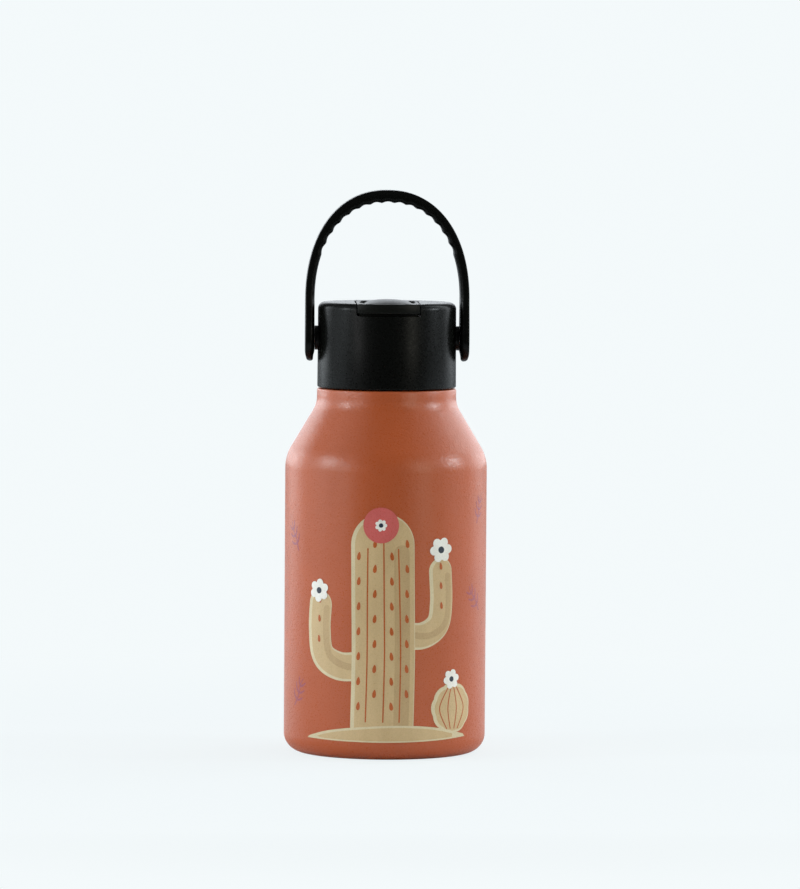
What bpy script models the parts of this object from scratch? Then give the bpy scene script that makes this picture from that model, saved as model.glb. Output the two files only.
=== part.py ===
"""Children's insulated water bottle with a screw lid, flip cover, soft spout and bail handle.

Metres, +Z up. The origin is the centre of the flat base. The flip cover opens from the front,
which faces -Y, and the handle swings about an axis along X.
"""

import math

import bmesh
import bpy
import numpy as np
from mathutils import Matrix, Vector

# ---------------------------------------------------------------- driving dimensions (metres)
GAP = 0.0003                  # clearance between pieces that rest on or in one another
ROUND_SEGMENTS = 36           # facets round the bottle and the lid
SMALL_SEGMENTS = 16           # facets round the small turned pieces

BODY_RADIUS = 0.0365
BASE_FILLET = 0.0068
WALL_TOP_Z = 0.1030           # where the straight wall starts to turn in
SHOULDER_FILLET = 0.0150
SHOULDER_ANGLE = math.radians(30.7)
COLLAR_STEP = 0.0002          # how far the collar stands out past the lid
COLLAR_FILLET = 0.0040
COLLAR_TOP_Z = 0.1318
COLLAR_EDGE = 0.0005
SHELL_WALL = 0.0008
VACUUM_GAP = 0.0026
FLASK_WALL = 0.0007
FLASK_BASE_Z = 0.0070
FLASK_FILLET = 0.0080

NECK_WALL = 0.0010
NECK_TOP_Z = 0.1465
LIP_THICKNESS = 0.0008

THREAD_PITCH = 0.0040
THREAD_DEPTH = 0.0011
THREAD_CREST_HALF = 0.00045
THREAD_FLANK = 0.0007
THREAD_ROW = 0.0005
THREAD_CLEARANCE = 0.0005
NECK_THREAD = (0.1345, 0.1445)
LID_THREAD = (0.1350, 0.1432)

BASE_RING_WIDTH = 0.0057
BASE_PLATE_OVERLAP = 0.0035
BASE_PLATE_THICKNESS = 0.0008
BASE_DIMPLE_RADIUS = 0.0052
BASE_DIMPLE_RISE = 0.0014
BASE_COVER_MARGIN = 0.0015
BASE_COVER_Z = 0.0002
GETTER_RADIUS = 0.0050
GETTER_THICKNESS = 0.0018
GETTER_OFFSET = 0.0140

LID_BOTTOM_Z = 0.1322
LID_TOP_Z = 0.1630
LID_RADIUS = 0.0250
LID_DRAFT = 0.0001
LID_TOP_FILLET = 0.0023
LID_EDGE = 0.0005
LID_WALL = 0.0016
LID_TOP_THICKNESS = 0.0020
LINER_SETBACK = 0.0008
LINER_WALL = 0.0021
DECK_THICKNESS = 0.0018
GASKET_THICKNESS = 0.0013
GASKET_OVERHANG = 0.0002

COVER_HALF_WIDTH = 0.0112
COVER_SIDE_GAP = 0.0004
COVER_THICKNESS = 0.0019
COVER_OVERHANG = 0.0004
COVER_LIP_DROP = 0.0033
COVER_LIP_DEPTH = 0.0018
COVER_EDGE = 0.0005
COVER_ROWS = 11
COVER_PIVOT_Y = 0.0080
COVER_BARREL_RADIUS = 0.0020
COVER_PIN_RADIUS = 0.0009
COVER_PIN_REACH = 0.0126
VAULT_HALF_WIDTH = 0.0085
VAULT_RISE = 0.0017
VAULT_WALL = 0.0016
VAULT_FRONT_MARGIN = 0.0011
VAULT_REAR_MARGIN = 0.0035

RECESS_FLOOR_Z = 0.1586
RECESS_REAR_GAP = 0.0012
RECESS_WALL = 0.0016
CHANNEL_HALF_WIDTH = 0.0052
CHANNEL_FLOOR_Z = 0.1535
CHANNEL_FLOOR = 0.0015
CHANNEL_FRONT_WALL = 0.0022
CHANNEL_WALL = 0.0015

SPOUT_AXIS_Z = 0.1583         # height of the folded spout's axis, and of its pivot
SPOUT_STEM_RADIUS = 0.0043
SPOUT_FLANGE = 0.0008
SPOUT_FOOT_RADIUS = 0.0062
SPOUT_FOOT = 0.0012
SPOUT_BORE = 0.0022
ELBOW_RADIUS = 0.0027
ELBOW_BORE = 0.0016
ELBOW_BEND = 0.0031
NOZZLE_START = 0.0053
NOZZLE_TIP_GAP = 0.0008
NOZZLE_RADIUS = 0.0040
NOZZLE_FOOT = 0.0030
NOZZLE_TAPER = 0.0015
NOZZLE_WAIST = 0.0033
NOZZLE_BULB = 0.0039
NOZZLE_BULB_LENGTH = 0.0018
NOZZLE_ROUND = 0.0014
NOZZLE_BORE = 0.0017

STRAW_RADIUS = 0.0032
STRAW_BORE = 0.0025
STRAW_END_CLEARANCE = 0.0018
STRAW_SLANT = 0.5
ADAPTER_BORE = 0.0012
ADAPTER_FLANGE_RADIUS = 0.0045
ADAPTER_FLANGE = 0.0011
ADAPTER_REACH = 0.0080

VALVE_SIDE_MARGIN = 0.0023
VALVE_Y = -0.0040
VALVE_STEM_RADIUS = 0.0010
VALVE_HEAD_RADIUS = 0.0019
VALVE_FLAP_RADIUS = 0.0022

HANDLE_PIVOT_Z = 0.1500
HANDLE_CLEARANCE = 0.0012
HANDLE_THICKNESS = 0.0033
HANDLE_CROWN_THICKNESS = 0.0040
HANDLE_ARCH_Z = 0.1638
HANDLE_ARCH_RISE = 0.0397
HANDLE_ARCH_POWER = 2.2
HANDLE_HALF_WIDTH = 0.0055
HANDLE_CHAMFER = 0.0009
EAR_RADIUS = 0.0084
EAR_TIP_THICKNESS = 0.0018
EAR_STEPS = 6
SCALLOP_PITCH = 0.0051
SCALLOP_DEPTH = 0.0005
SCALLOP_COUNT = 15
PIVOT_PIN_RADIUS = 0.0020
PIVOT_SKIN = 0.0010
BUSH_WALL = 0.0007
BUSH_FLANGE_RADIUS = 0.0043
BUSH_FLANGE = 0.0006

# ---------------------------------------------------------------- dimensions that follow
COLLAR_RADIUS = LID_RADIUS + COLLAR_STEP
LID_BORE = LID_RADIUS - LID_WALL
LINER_RADIUS = LID_BORE - GAP
LINER_BORE = LINER_RADIUS - LINER_WALL
LINER_BOTTOM_Z = LID_BOTTOM_Z + LINER_SETBACK
NECK_RADIUS = LINER_BORE - THREAD_CLEARANCE - THREAD_DEPTH
BASE_RING_INNER = BODY_RADIUS - BASE_FILLET - BASE_RING_WIDTH
BASE_PLATE_RADIUS = BASE_RING_INNER + BASE_PLATE_OVERLAP
BASE_COVER_RADIUS = BASE_RING_INNER - BASE_COVER_MARGIN
LIP_TOP_Z = NECK_TOP_Z + GAP + LIP_THICKNESS
NECK_BORE = NECK_RADIUS - NECK_WALL
MOUTH_RADIUS = NECK_BORE - GAP - FLASK_WALL
FLASK_INSET = SHELL_WALL + VACUUM_GAP
GASKET_Z = LIP_TOP_Z + GAP
DECK_Z = GASKET_Z + GASKET_THICKNESS + GAP
DECK_TOP_Z = DECK_Z + DECK_THICKNESS
LID_CEILING_Z = LID_TOP_Z - LID_TOP_THICKNESS
CHANNEL_UNDERSIDE_Z = CHANNEL_FLOOR_Z - CHANNEL_FLOOR
RECESS_HALF_WIDTH = COVER_HALF_WIDTH + COVER_SIDE_GAP
VALVE_X = RECESS_HALF_WIDTH - VALVE_SIDE_MARGIN
RECESS_REAR_Y = COVER_PIVOT_Y + COVER_BARREL_RADIUS + RECESS_REAR_GAP
CHANNEL_FRONT_Y = CHANNEL_FRONT_WALL - LID_BORE
COVER_FRONT_RADIUS = LID_RADIUS + COVER_OVERHANG
VAULT_FRONT_Y = VAULT_FRONT_MARGIN - COVER_FRONT_RADIUS
VAULT_REAR_Y = COVER_PIVOT_Y - VAULT_REAR_MARGIN
NOZZLE_END = -CHANNEL_FRONT_Y - NOZZLE_TIP_GAP
COVER_PIVOT_Z = LID_TOP_Z - COVER_BARREL_RADIUS
PLATE_Z = GAP + SHELL_WALL
PORT_RADIUS = SPOUT_STEM_RADIUS + GAP
SPOUT_TOP_Z = CHANNEL_FLOOR_Z + GAP + SPOUT_FLANGE
SPOUT_FOOT_Z = DECK_Z - GAP - SPOUT_FOOT
STRAW_TOP_Z = SPOUT_FOOT_Z - GAP - ADAPTER_FLANGE - GAP
HANDLE_HALF_SPAN = LID_RADIUS + LID_DRAFT + HANDLE_CLEARANCE + HANDLE_THICKNESS
PIVOT_PIN_REACH = HANDLE_HALF_SPAN - PIVOT_SKIN
BUSH_OUTER = LID_RADIUS + LID_DRAFT + GAP + BUSH_FLANGE
BUSH_BORE = PIVOT_PIN_RADIUS + GAP
BUSH_RADIUS = BUSH_BORE + BUSH_WALL
BUSH_INNER_X = LID_BORE + LID_DRAFT + GAP / 2

MATERIALS = {
    "powder_coat": ((0.46, 0.17, 0.09), 0.55, 0.0),
    "steel": ((0.62, 0.62, 0.63), 0.28, 1.0),
    "black_plastic": ((0.018, 0.018, 0.019), 0.60, 0.0),
    "liner_plastic": ((0.05, 0.05, 0.05), 0.45, 0.0),
    "clear_silicone": ((0.80, 0.82, 0.82), 0.40, 0.0),
    "grey_silicone": ((0.25, 0.26, 0.27), 0.60, 0.0),
    "foam": ((0.85, 0.84, 0.80), 0.90, 0.0),
    "straw_plastic": ((0.75, 0.78, 0.80), 0.30, 0.0),
    "getter_alloy": ((0.30, 0.30, 0.31), 0.50, 1.0),
}


# ---------------------------------------------------------------- building helpers
def clear_scene():
    """Remove every object that is in the scene."""
    for item in list(bpy.data.objects):
        bpy.data.objects.remove(item, do_unlink=True)


def make_material(piece_name, kind):
    """Make the material of one piece from the table of finishes."""
    color, roughness, metallic = MATERIALS[kind]
    material = bpy.data.materials.new(piece_name)
    material.use_nodes = True
    shader = material.node_tree.nodes["Principled BSDF"]
    shader.inputs["Base Color"].default_value = (*color, 1.0)
    shader.inputs["Roughness"].default_value = roughness
    shader.inputs["Metallic"].default_value = metallic
    return material


def make_object(name, verts, faces, location=(0, 0, 0), parent=None):
    """Make a mesh object whose faces point out and whose round sides are smooth."""
    mesh = bpy.data.meshes.new(name)
    shape = bmesh.new()
    points = [shape.verts.new(point) for point in verts]
    for face in faces:
        shape.faces.new([points[index] for index in face])
    bmesh.ops.recalc_face_normals(shape, faces=shape.faces)
    shape.to_mesh(mesh)
    shape.free()
    mesh.shade_smooth()
    mesh.set_sharp_from_angle(angle=math.radians(32))
    item = bpy.data.objects.new(name, mesh)
    bpy.context.collection.objects.link(item)
    item.location = Vector(location)
    if parent is not None:
        item.parent = parent
        item.location = Vector(location) - parent.location
    return item


def make_piece(name, kind, shape, location=(0, 0, 0), parent=None):
    """Make one sub-part from a pair of vertices and faces, with its own material."""
    verts, faces = shape
    item = make_object(name, verts, faces, location, parent)
    item.data.materials.append(make_material(name, kind))
    return item


def make_cutter(name, shape, location=(0, 0, 0)):
    """Make a hidden tool for the Boolean modifiers."""
    verts, faces = shape
    item = make_object(name, verts, faces, location)
    item.display_type = "WIRE"
    item.hide_render = True
    return item


def combine(item, tool, operation):
    """Add one exact Boolean modifier to a piece."""
    modifier = item.modifiers.new(tool.name, "BOOLEAN")
    modifier.operation = operation
    modifier.solver = "EXACT"
    modifier.object = tool


def ring_faces(first, second, count, closed=True):
    """Faces between two rows of points, given the index of each row's first point."""
    steps = count if closed else count - 1
    faces = []
    for step in range(steps):
        after = (step + 1) % count
        faces.append((first + step, first + after, second + after, second + step))
    return faces


def turned(profile, segments, radius_rule=None, height_rule=None):
    """Turn a profile of (radius, height) about Z. A profile that starts on the axis ends there."""
    solid_core = profile[0][0] == 0.0
    verts = []
    faces = []
    rings = profile[1:-1] if solid_core else profile
    for radius, height in rings:
        for step in range(segments):
            angle = 2 * math.pi * step / segments
            reach = radius_rule(radius, height, angle) if radius_rule else radius
            x, y = reach * math.cos(angle), reach * math.sin(angle)
            lift = height_rule(height, x, y) if height_rule else height
            verts.append((x, y, lift))
    for row in range(len(rings) - 1):
        faces += ring_faces(row * segments, (row + 1) * segments, segments)
    last = (len(rings) - 1) * segments
    if not solid_core:
        return verts, faces + ring_faces(last, 0, segments)
    first_pole = len(verts)
    verts += [(0.0, 0.0, profile[0][1]), (0.0, 0.0, profile[-1][1])]
    for step in range(segments):
        after = (step + 1) % segments
        faces.append((first_pole, after, step))
        faces.append((first_pole + 1, last + step, last + after))
    return verts, faces


def prism(outline, low, high):
    """Raise a flat outline of (x, y) points from one height to another."""
    count = len(outline)
    verts = [(x, y, low) for x, y in outline] + [(x, y, high) for x, y in outline]
    faces = [tuple(range(count)), tuple(range(count, 2 * count))]
    return verts, faces + ring_faces(0, count, count)


def moved(shape, matrix):
    """Move the points of a shape by a matrix."""
    verts, faces = shape
    return [tuple(matrix @ Vector(point)) for point in verts], faces


def arc(center_r, center_z, radius, start, end, count):
    """Points of (radius, height) along an arc, both ends included."""
    points = []
    for step in range(count):
        angle = start + (end - start) * step / (count - 1)
        points.append((center_r + radius * math.cos(angle), center_z + radius * math.sin(angle)))
    return points


def smooth_step(value, low, high):
    """A smooth ramp from 0 at low to 1 at high."""
    ratio = min(max((value - low) / (high - low), 0.0), 1.0)
    return ratio * ratio * (3 - 2 * ratio)


def circle_strip(half_width, radius, rear_y, steps):
    """A strip along Y whose front edge follows a circle about the Z axis."""
    edge = math.asin(half_width / radius)
    outline = []
    for step in range(steps):
        angle = -edge + 2 * edge * step / (steps - 1)
        outline.append((radius * math.sin(angle), -radius * math.cos(angle)))
    return outline + [(half_width, rear_y), (-half_width, rear_y)]


def slot_outline(half_width, front_y, steps):
    """A slot along Y with a square front end and a round end about the Z axis."""
    outline = [(-half_width, front_y), (half_width, front_y)]
    for step in range(steps):
        angle = math.pi * step / (steps - 1)
        outline.append((half_width * math.cos(angle), half_width * math.sin(angle)))
    return outline


# ---------------------------------------------------------------- the bottle's curves
def bottle_curve(inset, base_z, fillet, counts):
    """The side of the bottle from its flat base to its collar, set in from the outer face."""
    base_count, bulge_count, throat_count = counts
    wall = BODY_RADIUS - inset
    points = arc(wall - fillet, base_z + fillet, fillet, -math.pi / 2, 0.0, base_count)
    bulge = SHOULDER_FILLET - inset
    points += arc(wall - bulge, WALL_TOP_Z, bulge, 0.0, SHOULDER_ANGLE, bulge_count)
    outer_join_r = BODY_RADIUS - SHOULDER_FILLET * (1 - math.cos(SHOULDER_ANGLE))
    outer_join_z = WALL_TOP_Z + SHOULDER_FILLET * math.sin(SHOULDER_ANGLE)
    throat_r = COLLAR_RADIUS + COLLAR_FILLET * (1 - math.cos(SHOULDER_ANGLE))
    throat_z = outer_join_z + (outer_join_r - throat_r) / math.tan(SHOULDER_ANGLE)
    center_r = COLLAR_RADIUS + COLLAR_FILLET
    center_z = throat_z + COLLAR_FILLET * math.sin(SHOULDER_ANGLE)
    points += arc(center_r, center_z, COLLAR_FILLET + inset, math.pi + SHOULDER_ANGLE,
                  math.pi, throat_count)
    return points


def thread_height(height, angle, span, phase):
    """Height of a right-hand thread's ridge at a point, faded out at the span's ends."""
    low, high = span
    along = (height - THREAD_PITCH * angle / (2 * math.pi) - phase) % THREAD_PITCH
    distance = min(along, THREAD_PITCH - along)
    ridge = 1.0 - min(max((distance - THREAD_CREST_HALF) / THREAD_FLANK, 0.0), 1.0)
    fade = THREAD_PITCH / 4
    window = smooth_step(height, low, low + fade) * (1 - smooth_step(height, high - fade, high))
    return THREAD_DEPTH * ridge * window


def thread_rows(radius, span):
    """Rows of (radius, height) that are close enough together to carry a thread."""
    low, high = span
    count = round((high - low) / THREAD_ROW)
    return [(radius, low + (high - low) * step / count) for step in range(count + 1)]


def neck_radius_rule(radius, height, angle):
    """Raise the thread on the outside of the neck."""
    if radius != NECK_RADIUS:
        return radius
    return radius + thread_height(height, angle, NECK_THREAD, 0.0)


def liner_radius_rule(radius, height, angle):
    """Raise the lid's thread inwards, half a pitch from the neck's."""
    if radius != LINER_BORE:
        return radius
    return radius - thread_height(height, angle, LID_THREAD, THREAD_PITCH / 2)


# ---------------------------------------------------------------- the bottle's pieces
def build_outer_shell(parent):
    """Outer steel wall with the collar and the threaded neck."""
    ring_edge = SHELL_WALL / 2
    profile = [(BASE_RING_INNER + ring_edge, 0.0)]
    profile += bottle_curve(0.0, 0.0, BASE_FILLET, (6, 5, 4))
    profile += [(COLLAR_RADIUS, COLLAR_TOP_Z - COLLAR_EDGE),
                (COLLAR_RADIUS - COLLAR_EDGE, COLLAR_TOP_Z),
                (NECK_RADIUS, COLLAR_TOP_Z)]
    profile += thread_rows(NECK_RADIUS, NECK_THREAD)
    profile += [(NECK_RADIUS, NECK_TOP_Z),
                (NECK_BORE, NECK_TOP_Z),
                (NECK_BORE, COLLAR_TOP_Z - NECK_WALL),
                (COLLAR_RADIUS - SHELL_WALL, COLLAR_TOP_Z - NECK_WALL)]
    inner = bottle_curve(SHELL_WALL, SHELL_WALL, BASE_FILLET - SHELL_WALL, (5, 4, 3))
    profile += reversed(inner)
    profile += [(BASE_RING_INNER + ring_edge, SHELL_WALL), (BASE_RING_INNER, ring_edge)]
    shape = turned(profile, ROUND_SEGMENTS, radius_rule=neck_radius_rule)
    make_piece("outer_shell", "powder_coat", shape, parent=parent)


def flask_throat(inset, bore, lowest_z):
    """The inner flask's step from its collar to its narrow mouth."""
    return [(COLLAR_RADIUS - inset, lowest_z), (bore, lowest_z + (COLLAR_RADIUS - inset - bore) / 2)]


def build_inner_flask(parent):
    """Inner steel flask that hangs by its rolled lip in the neck."""
    inner_inset = FLASK_INSET + FLASK_WALL
    throat_z = COLLAR_TOP_Z - SHELL_WALL - VACUUM_GAP * 1.5
    outer_mouth = MOUTH_RADIUS + FLASK_WALL
    outside = bottle_curve(FLASK_INSET, FLASK_BASE_Z, FLASK_FILLET, (5, 4, 3))
    inside = bottle_curve(inner_inset, FLASK_BASE_Z + FLASK_WALL, FLASK_FILLET - FLASK_WALL, (5, 4, 3))
    profile = [(0.0, FLASK_BASE_Z)] + outside
    profile += flask_throat(FLASK_INSET, outer_mouth, throat_z)
    profile += [(outer_mouth, NECK_TOP_Z + GAP),
                (NECK_RADIUS - GAP, NECK_TOP_Z + GAP),
                (NECK_RADIUS, NECK_TOP_Z + GAP + LIP_THICKNESS / 2),
                (NECK_RADIUS - GAP, LIP_TOP_Z),
                (MOUTH_RADIUS + GAP, LIP_TOP_Z),
                (MOUTH_RADIUS, NECK_TOP_Z + GAP)]
    profile += reversed(flask_throat(inner_inset, MOUTH_RADIUS, throat_z - FLASK_WALL / 2))
    profile += list(reversed(inside)) + [(0.0, FLASK_BASE_Z + FLASK_WALL)]
    make_piece("inner_flask", "steel", turned(profile, ROUND_SEGMENTS), parent=parent)


def build_base_plate(parent):
    """Welded base plate with a raised dimple for the sealing bead."""
    top = PLATE_Z + BASE_PLATE_THICKNESS
    inner = BASE_DIMPLE_RADIUS - BASE_PLATE_THICKNESS
    profile = [(0.0, PLATE_Z + BASE_DIMPLE_RISE),
               (inner, PLATE_Z + BASE_DIMPLE_RISE),
               (BASE_DIMPLE_RADIUS, PLATE_Z),
               (BASE_PLATE_RADIUS, PLATE_Z),
               (BASE_PLATE_RADIUS, top),
               (BASE_DIMPLE_RADIUS + BASE_PLATE_THICKNESS, top),
               (BASE_DIMPLE_RADIUS, top + BASE_DIMPLE_RISE),
               (0.0, top + BASE_DIMPLE_RISE)]
    make_piece("base_plate", "steel", turned(profile, ROUND_SEGMENTS), parent=parent)


def build_base_cover(parent):
    """Thin disc stuck over the base plate."""
    top = PLATE_Z - GAP
    profile = [(0.0, BASE_COVER_Z),
               (BASE_COVER_RADIUS, BASE_COVER_Z),
               (BASE_COVER_RADIUS, top),
               (0.0, top)]
    make_piece("base_cover", "steel", turned(profile, ROUND_SEGMENTS), parent=parent)


def build_seal_bead(parent):
    """Bead that closes the pumping hole under the base plate."""
    radius = BASE_DIMPLE_RADIUS - BASE_PLATE_THICKNESS - 2 * GAP
    top = PLATE_Z + BASE_DIMPLE_RISE - GAP
    profile = [(0.0, PLATE_Z), (radius, PLATE_Z), (radius, top - GAP), (radius - GAP, top), (0.0, top)]
    make_piece("seal_bead", "getter_alloy", turned(profile, SMALL_SEGMENTS), parent=parent)


def build_getter(parent):
    """Gas getter pill on the vacuum side of the base plate."""
    low = PLATE_Z + BASE_PLATE_THICKNESS + GAP
    profile = [(0.0, 0.0), (GETTER_RADIUS, 0.0), (GETTER_RADIUS, GETTER_THICKNESS),
               (0.0, GETTER_THICKNESS)]
    make_piece("getter", "getter_alloy", turned(profile, SMALL_SEGMENTS),
               (GETTER_OFFSET, 0.0, low), parent)


# ---------------------------------------------------------------- the lid's pieces
def lid_cup():
    """Plain outer cup of the lid before its recess is made."""
    fillet_r = LID_RADIUS - LID_TOP_FILLET
    foot = LID_RADIUS + LID_DRAFT
    profile = [(0.0, LID_TOP_Z)]
    profile += arc(fillet_r, LID_TOP_Z - LID_TOP_FILLET, LID_TOP_FILLET, math.pi / 2, 0.0, 5)
    profile += [(foot, LID_BOTTOM_Z + LID_EDGE),
                (foot - LID_EDGE, LID_BOTTOM_Z),
                (LID_BORE + LID_EDGE, LID_BOTTOM_Z),
                (LID_BORE, LID_BOTTOM_Z + LID_EDGE),
                (LID_BORE, LID_CEILING_Z),
                (0.0, LID_CEILING_Z)]
    return turned(profile, ROUND_SEGMENTS)


def lid_blocks():
    """Solid blocks that become the walls of the recess and of the spout channel."""
    seat = LID_RADIUS - LID_WALL / 2
    top = LID_TOP_Z - LID_TOP_THICKNESS / 2
    upper = circle_strip(RECESS_HALF_WIDTH + RECESS_WALL, seat, RECESS_REAR_Y + RECESS_WALL, 9)
    half = CHANNEL_HALF_WIDTH + CHANNEL_WALL
    lower = circle_strip(half, seat, 0.0, 5)[:-2]
    lower += slot_outline(half, 0.0, 11)[2:]
    floor = RECESS_FLOOR_Z - RECESS_WALL
    return (prism(upper, floor, top), prism(lower, CHANNEL_UNDERSIDE_Z, floor + RECESS_WALL / 2))


def lid_cutters():
    """Tools for the recess, the spout channel, the ports and the pivot holes."""
    past = 2 * LID_RADIUS
    recess = [(-RECESS_HALF_WIDTH, -past), (RECESS_HALF_WIDTH, -past),
              (RECESS_HALF_WIDTH, RECESS_REAR_Y), (-RECESS_HALF_WIDTH, RECESS_REAR_Y)]
    channel = slot_outline(CHANNEL_HALF_WIDTH, CHANNEL_FRONT_Y, 11)
    port = rod(PORT_RADIUS, CHANNEL_UNDERSIDE_Z - RECESS_WALL, RECESS_FLOOR_Z)
    vent = moved(rod(VALVE_STEM_RADIUS + GAP, CHANNEL_FLOOR_Z, LID_CEILING_Z),
                 Matrix.Translation((VALVE_X, VALVE_Y, 0.0)))
    bore = rod(COVER_PIN_RADIUS + GAP, -COVER_PIN_REACH - GAP, COVER_PIN_REACH + GAP)
    tools = {"recess_tool": prism(recess, RECESS_FLOOR_Z, LID_TOP_Z + LID_TOP_THICKNESS),
             "channel_tool": prism(channel, CHANNEL_FLOOR_Z, RECESS_FLOOR_Z + RECESS_WALL),
             "port_tool": port,
             "vent_tool": vent,
             "cover_bore_tool": moved(bore, across((0.0, COVER_PIVOT_Y, COVER_PIVOT_Z)))}
    for name, side in (("left", -1), ("right", 1)):
        hole = rod(BUSH_RADIUS + GAP, LID_BORE - LID_WALL, LID_RADIUS + LID_WALL)
        tools[name + "_pivot_tool"] = moved(hole, across((0.0, 0.0, HANDLE_PIVOT_Z), side))
    return tools


def rod(radius, low, high, segments=SMALL_SEGMENTS):
    """Plain round rod along Z."""
    return turned([(0.0, low), (radius, low), (radius, high), (0.0, high)], segments)


def across(point, side=1):
    """Matrix that lays a piece turned about Z along X, pointing to one side."""
    return Matrix.Translation(point) @ Matrix.Rotation(side * math.pi / 2, 4, "Y")


def build_lid_shell(parent):
    """Black outer shell of the lid with its recess, spout channel and holes."""
    lid = make_piece("lid_shell", "black_plastic", lid_cup(), parent=parent)
    for index, block in enumerate(lid_blocks()):
        combine(lid, make_cutter("block_tool_" + str(index + 1), block), "UNION")
    for name, tool in lid_cutters().items():
        combine(lid, make_cutter(name, tool), "DIFFERENCE")


def build_lid_liner(parent):
    """Threaded liner whose deck closes the bottle's mouth."""
    edge = LID_EDGE
    profile = [(PORT_RADIUS, DECK_TOP_Z),
               (LINER_RADIUS - edge, DECK_TOP_Z),
               (LINER_RADIUS, DECK_TOP_Z - edge),
               (LINER_RADIUS, LINER_BOTTOM_Z),
               (LINER_BORE + edge, LINER_BOTTOM_Z),
               (LINER_BORE, LINER_BOTTOM_Z + edge)]
    profile += thread_rows(LINER_BORE, LID_THREAD)
    profile += [(LINER_BORE, DECK_Z), (PORT_RADIUS, DECK_Z)]
    shape = turned(profile, ROUND_SEGMENTS, radius_rule=liner_radius_rule)
    make_piece("lid_liner", "liner_plastic", shape, parent=parent)


def build_gasket(parent):
    """Sealing ring between the bottle's lip and the lid's deck."""
    inner = MOUTH_RADIUS - GASKET_OVERHANG
    outer = NECK_RADIUS + GASKET_OVERHANG
    top = GASKET_Z + GASKET_THICKNESS
    profile = [(inner, GASKET_Z), (outer, GASKET_Z), (outer, top), (inner, top)]
    make_piece("lid_gasket", "grey_silicone", turned(profile, ROUND_SEGMENTS), parent=parent)


def build_lid_foam(parent):
    """Insulating half moons on both sides of the recess."""
    inner = RECESS_HALF_WIDTH + RECESS_WALL + GAP
    radius = LID_BORE - 2 * GAP
    edge = math.acos(inner / radius)
    for name, side in (("left", -1), ("right", 1)):
        outline = []
        for step in range(9):
            angle = -edge + 2 * edge * step / 8
            outline.append((side * radius * math.cos(angle), radius * math.sin(angle)))
        shape = prism(outline, DECK_TOP_Z + GAP, LID_CEILING_Z - GAP)
        make_piece("lid_foam_" + name, "foam", shape, parent=parent)


def build_vent_valve(parent):
    """Soft mushroom valve that lets air in beside the spout."""
    head = RECESS_FLOOR_Z + GAP
    flap = RECESS_FLOOR_Z - RECESS_WALL - GAP
    profile = [(0.0, head + 3 * GAP),
               (VALVE_HEAD_RADIUS - GAP, head + 2 * GAP),
               (VALVE_HEAD_RADIUS, head),
               (VALVE_STEM_RADIUS, head),
               (VALVE_STEM_RADIUS, flap),
               (VALVE_FLAP_RADIUS, flap),
               (VALVE_FLAP_RADIUS, flap - GAP),
               (VALVE_STEM_RADIUS, flap - 3 * GAP),
               (0.0, flap - 3 * GAP)]
    shape = turned(profile, SMALL_SEGMENTS)
    make_piece("vent_valve", "clear_silicone", shape, (VALVE_X, VALVE_Y, 0.0), parent)


# ---------------------------------------------------------------- the flip cover
def cover_columns():
    """Places across the cover, closer together at its edges and at the vault's."""
    half = [0.0, 0.2, 0.4, 0.58, 0.72, 0.81, 0.92, 1.0]
    inner = [VAULT_HALF_WIDTH * ratio for ratio in half]
    outer = [COVER_HALF_WIDTH - COVER_EDGE, COVER_HALF_WIDTH]
    right = inner + outer
    return [-x for x in reversed(right[1:])] + right


def cover_rows():
    """Distances behind the cover's front edge, as shares of its length."""
    length = COVER_FRONT_RADIUS + COVER_PIVOT_Y
    lip_end = COVER_LIP_DEPTH + COVER_EDGE
    steps = [0.0, COVER_EDGE, COVER_LIP_DEPTH]
    for step in range(COVER_ROWS + 1):
        turn = math.pi * step / COVER_ROWS
        steps.append(lip_end + (length - lip_end) * (1 - math.cos(turn)) / 2)
    return [step / length for step in steps]


def vault_rise(x, y, half_width, rise, front, rear):
    """Height of a rounded vault above the cover's flat part."""
    across_share = 1.0 - (x / half_width) ** 2
    middle = (front + rear) / 2
    along_share = 1.0 - abs((y - middle) / ((rear - front) / 2)) ** 6
    if across_share <= 0.0 or along_share <= 0.0:
        return 0.0
    return rise * math.sqrt(across_share * along_share)


def cover_plate():
    """Plate with a lip at its front edge and a hollow vault over the spout."""
    xs = cover_columns()
    shares = cover_rows()
    under = LID_TOP_Z - COVER_THICKNESS
    inner_half = VAULT_HALF_WIDTH - VAULT_WALL
    inner_rise = COVER_THICKNESS + VAULT_RISE - VAULT_WALL
    top_points = []
    low_points = []
    for row, share in enumerate(shares):
        for column, x in enumerate(xs):
            front = -math.sqrt(COVER_FRONT_RADIUS ** 2 - x ** 2)
            y = front + share * (COVER_PIVOT_Y - front)
            at_edge = row == 0 or column in (0, len(xs) - 1)
            top = LID_TOP_Z - (COVER_EDGE if at_edge else 0.0)
            top += vault_rise(x, y, VAULT_HALF_WIDTH, VAULT_RISE, VAULT_FRONT_Y, VAULT_REAR_Y)
            hollow = vault_rise(x, y, inner_half, inner_rise, VAULT_FRONT_Y + VAULT_WALL,
                                VAULT_REAR_Y - VAULT_WALL)
            low = under + hollow
            if share * (COVER_FRONT_RADIUS + COVER_PIVOT_Y) <= COVER_LIP_DEPTH:
                low = LID_TOP_Z - COVER_LIP_DROP
            top_points.append((x, y, top))
            low_points.append((x, y, low))
    return grid_solid(top_points, low_points, len(xs), len(shares))


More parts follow.
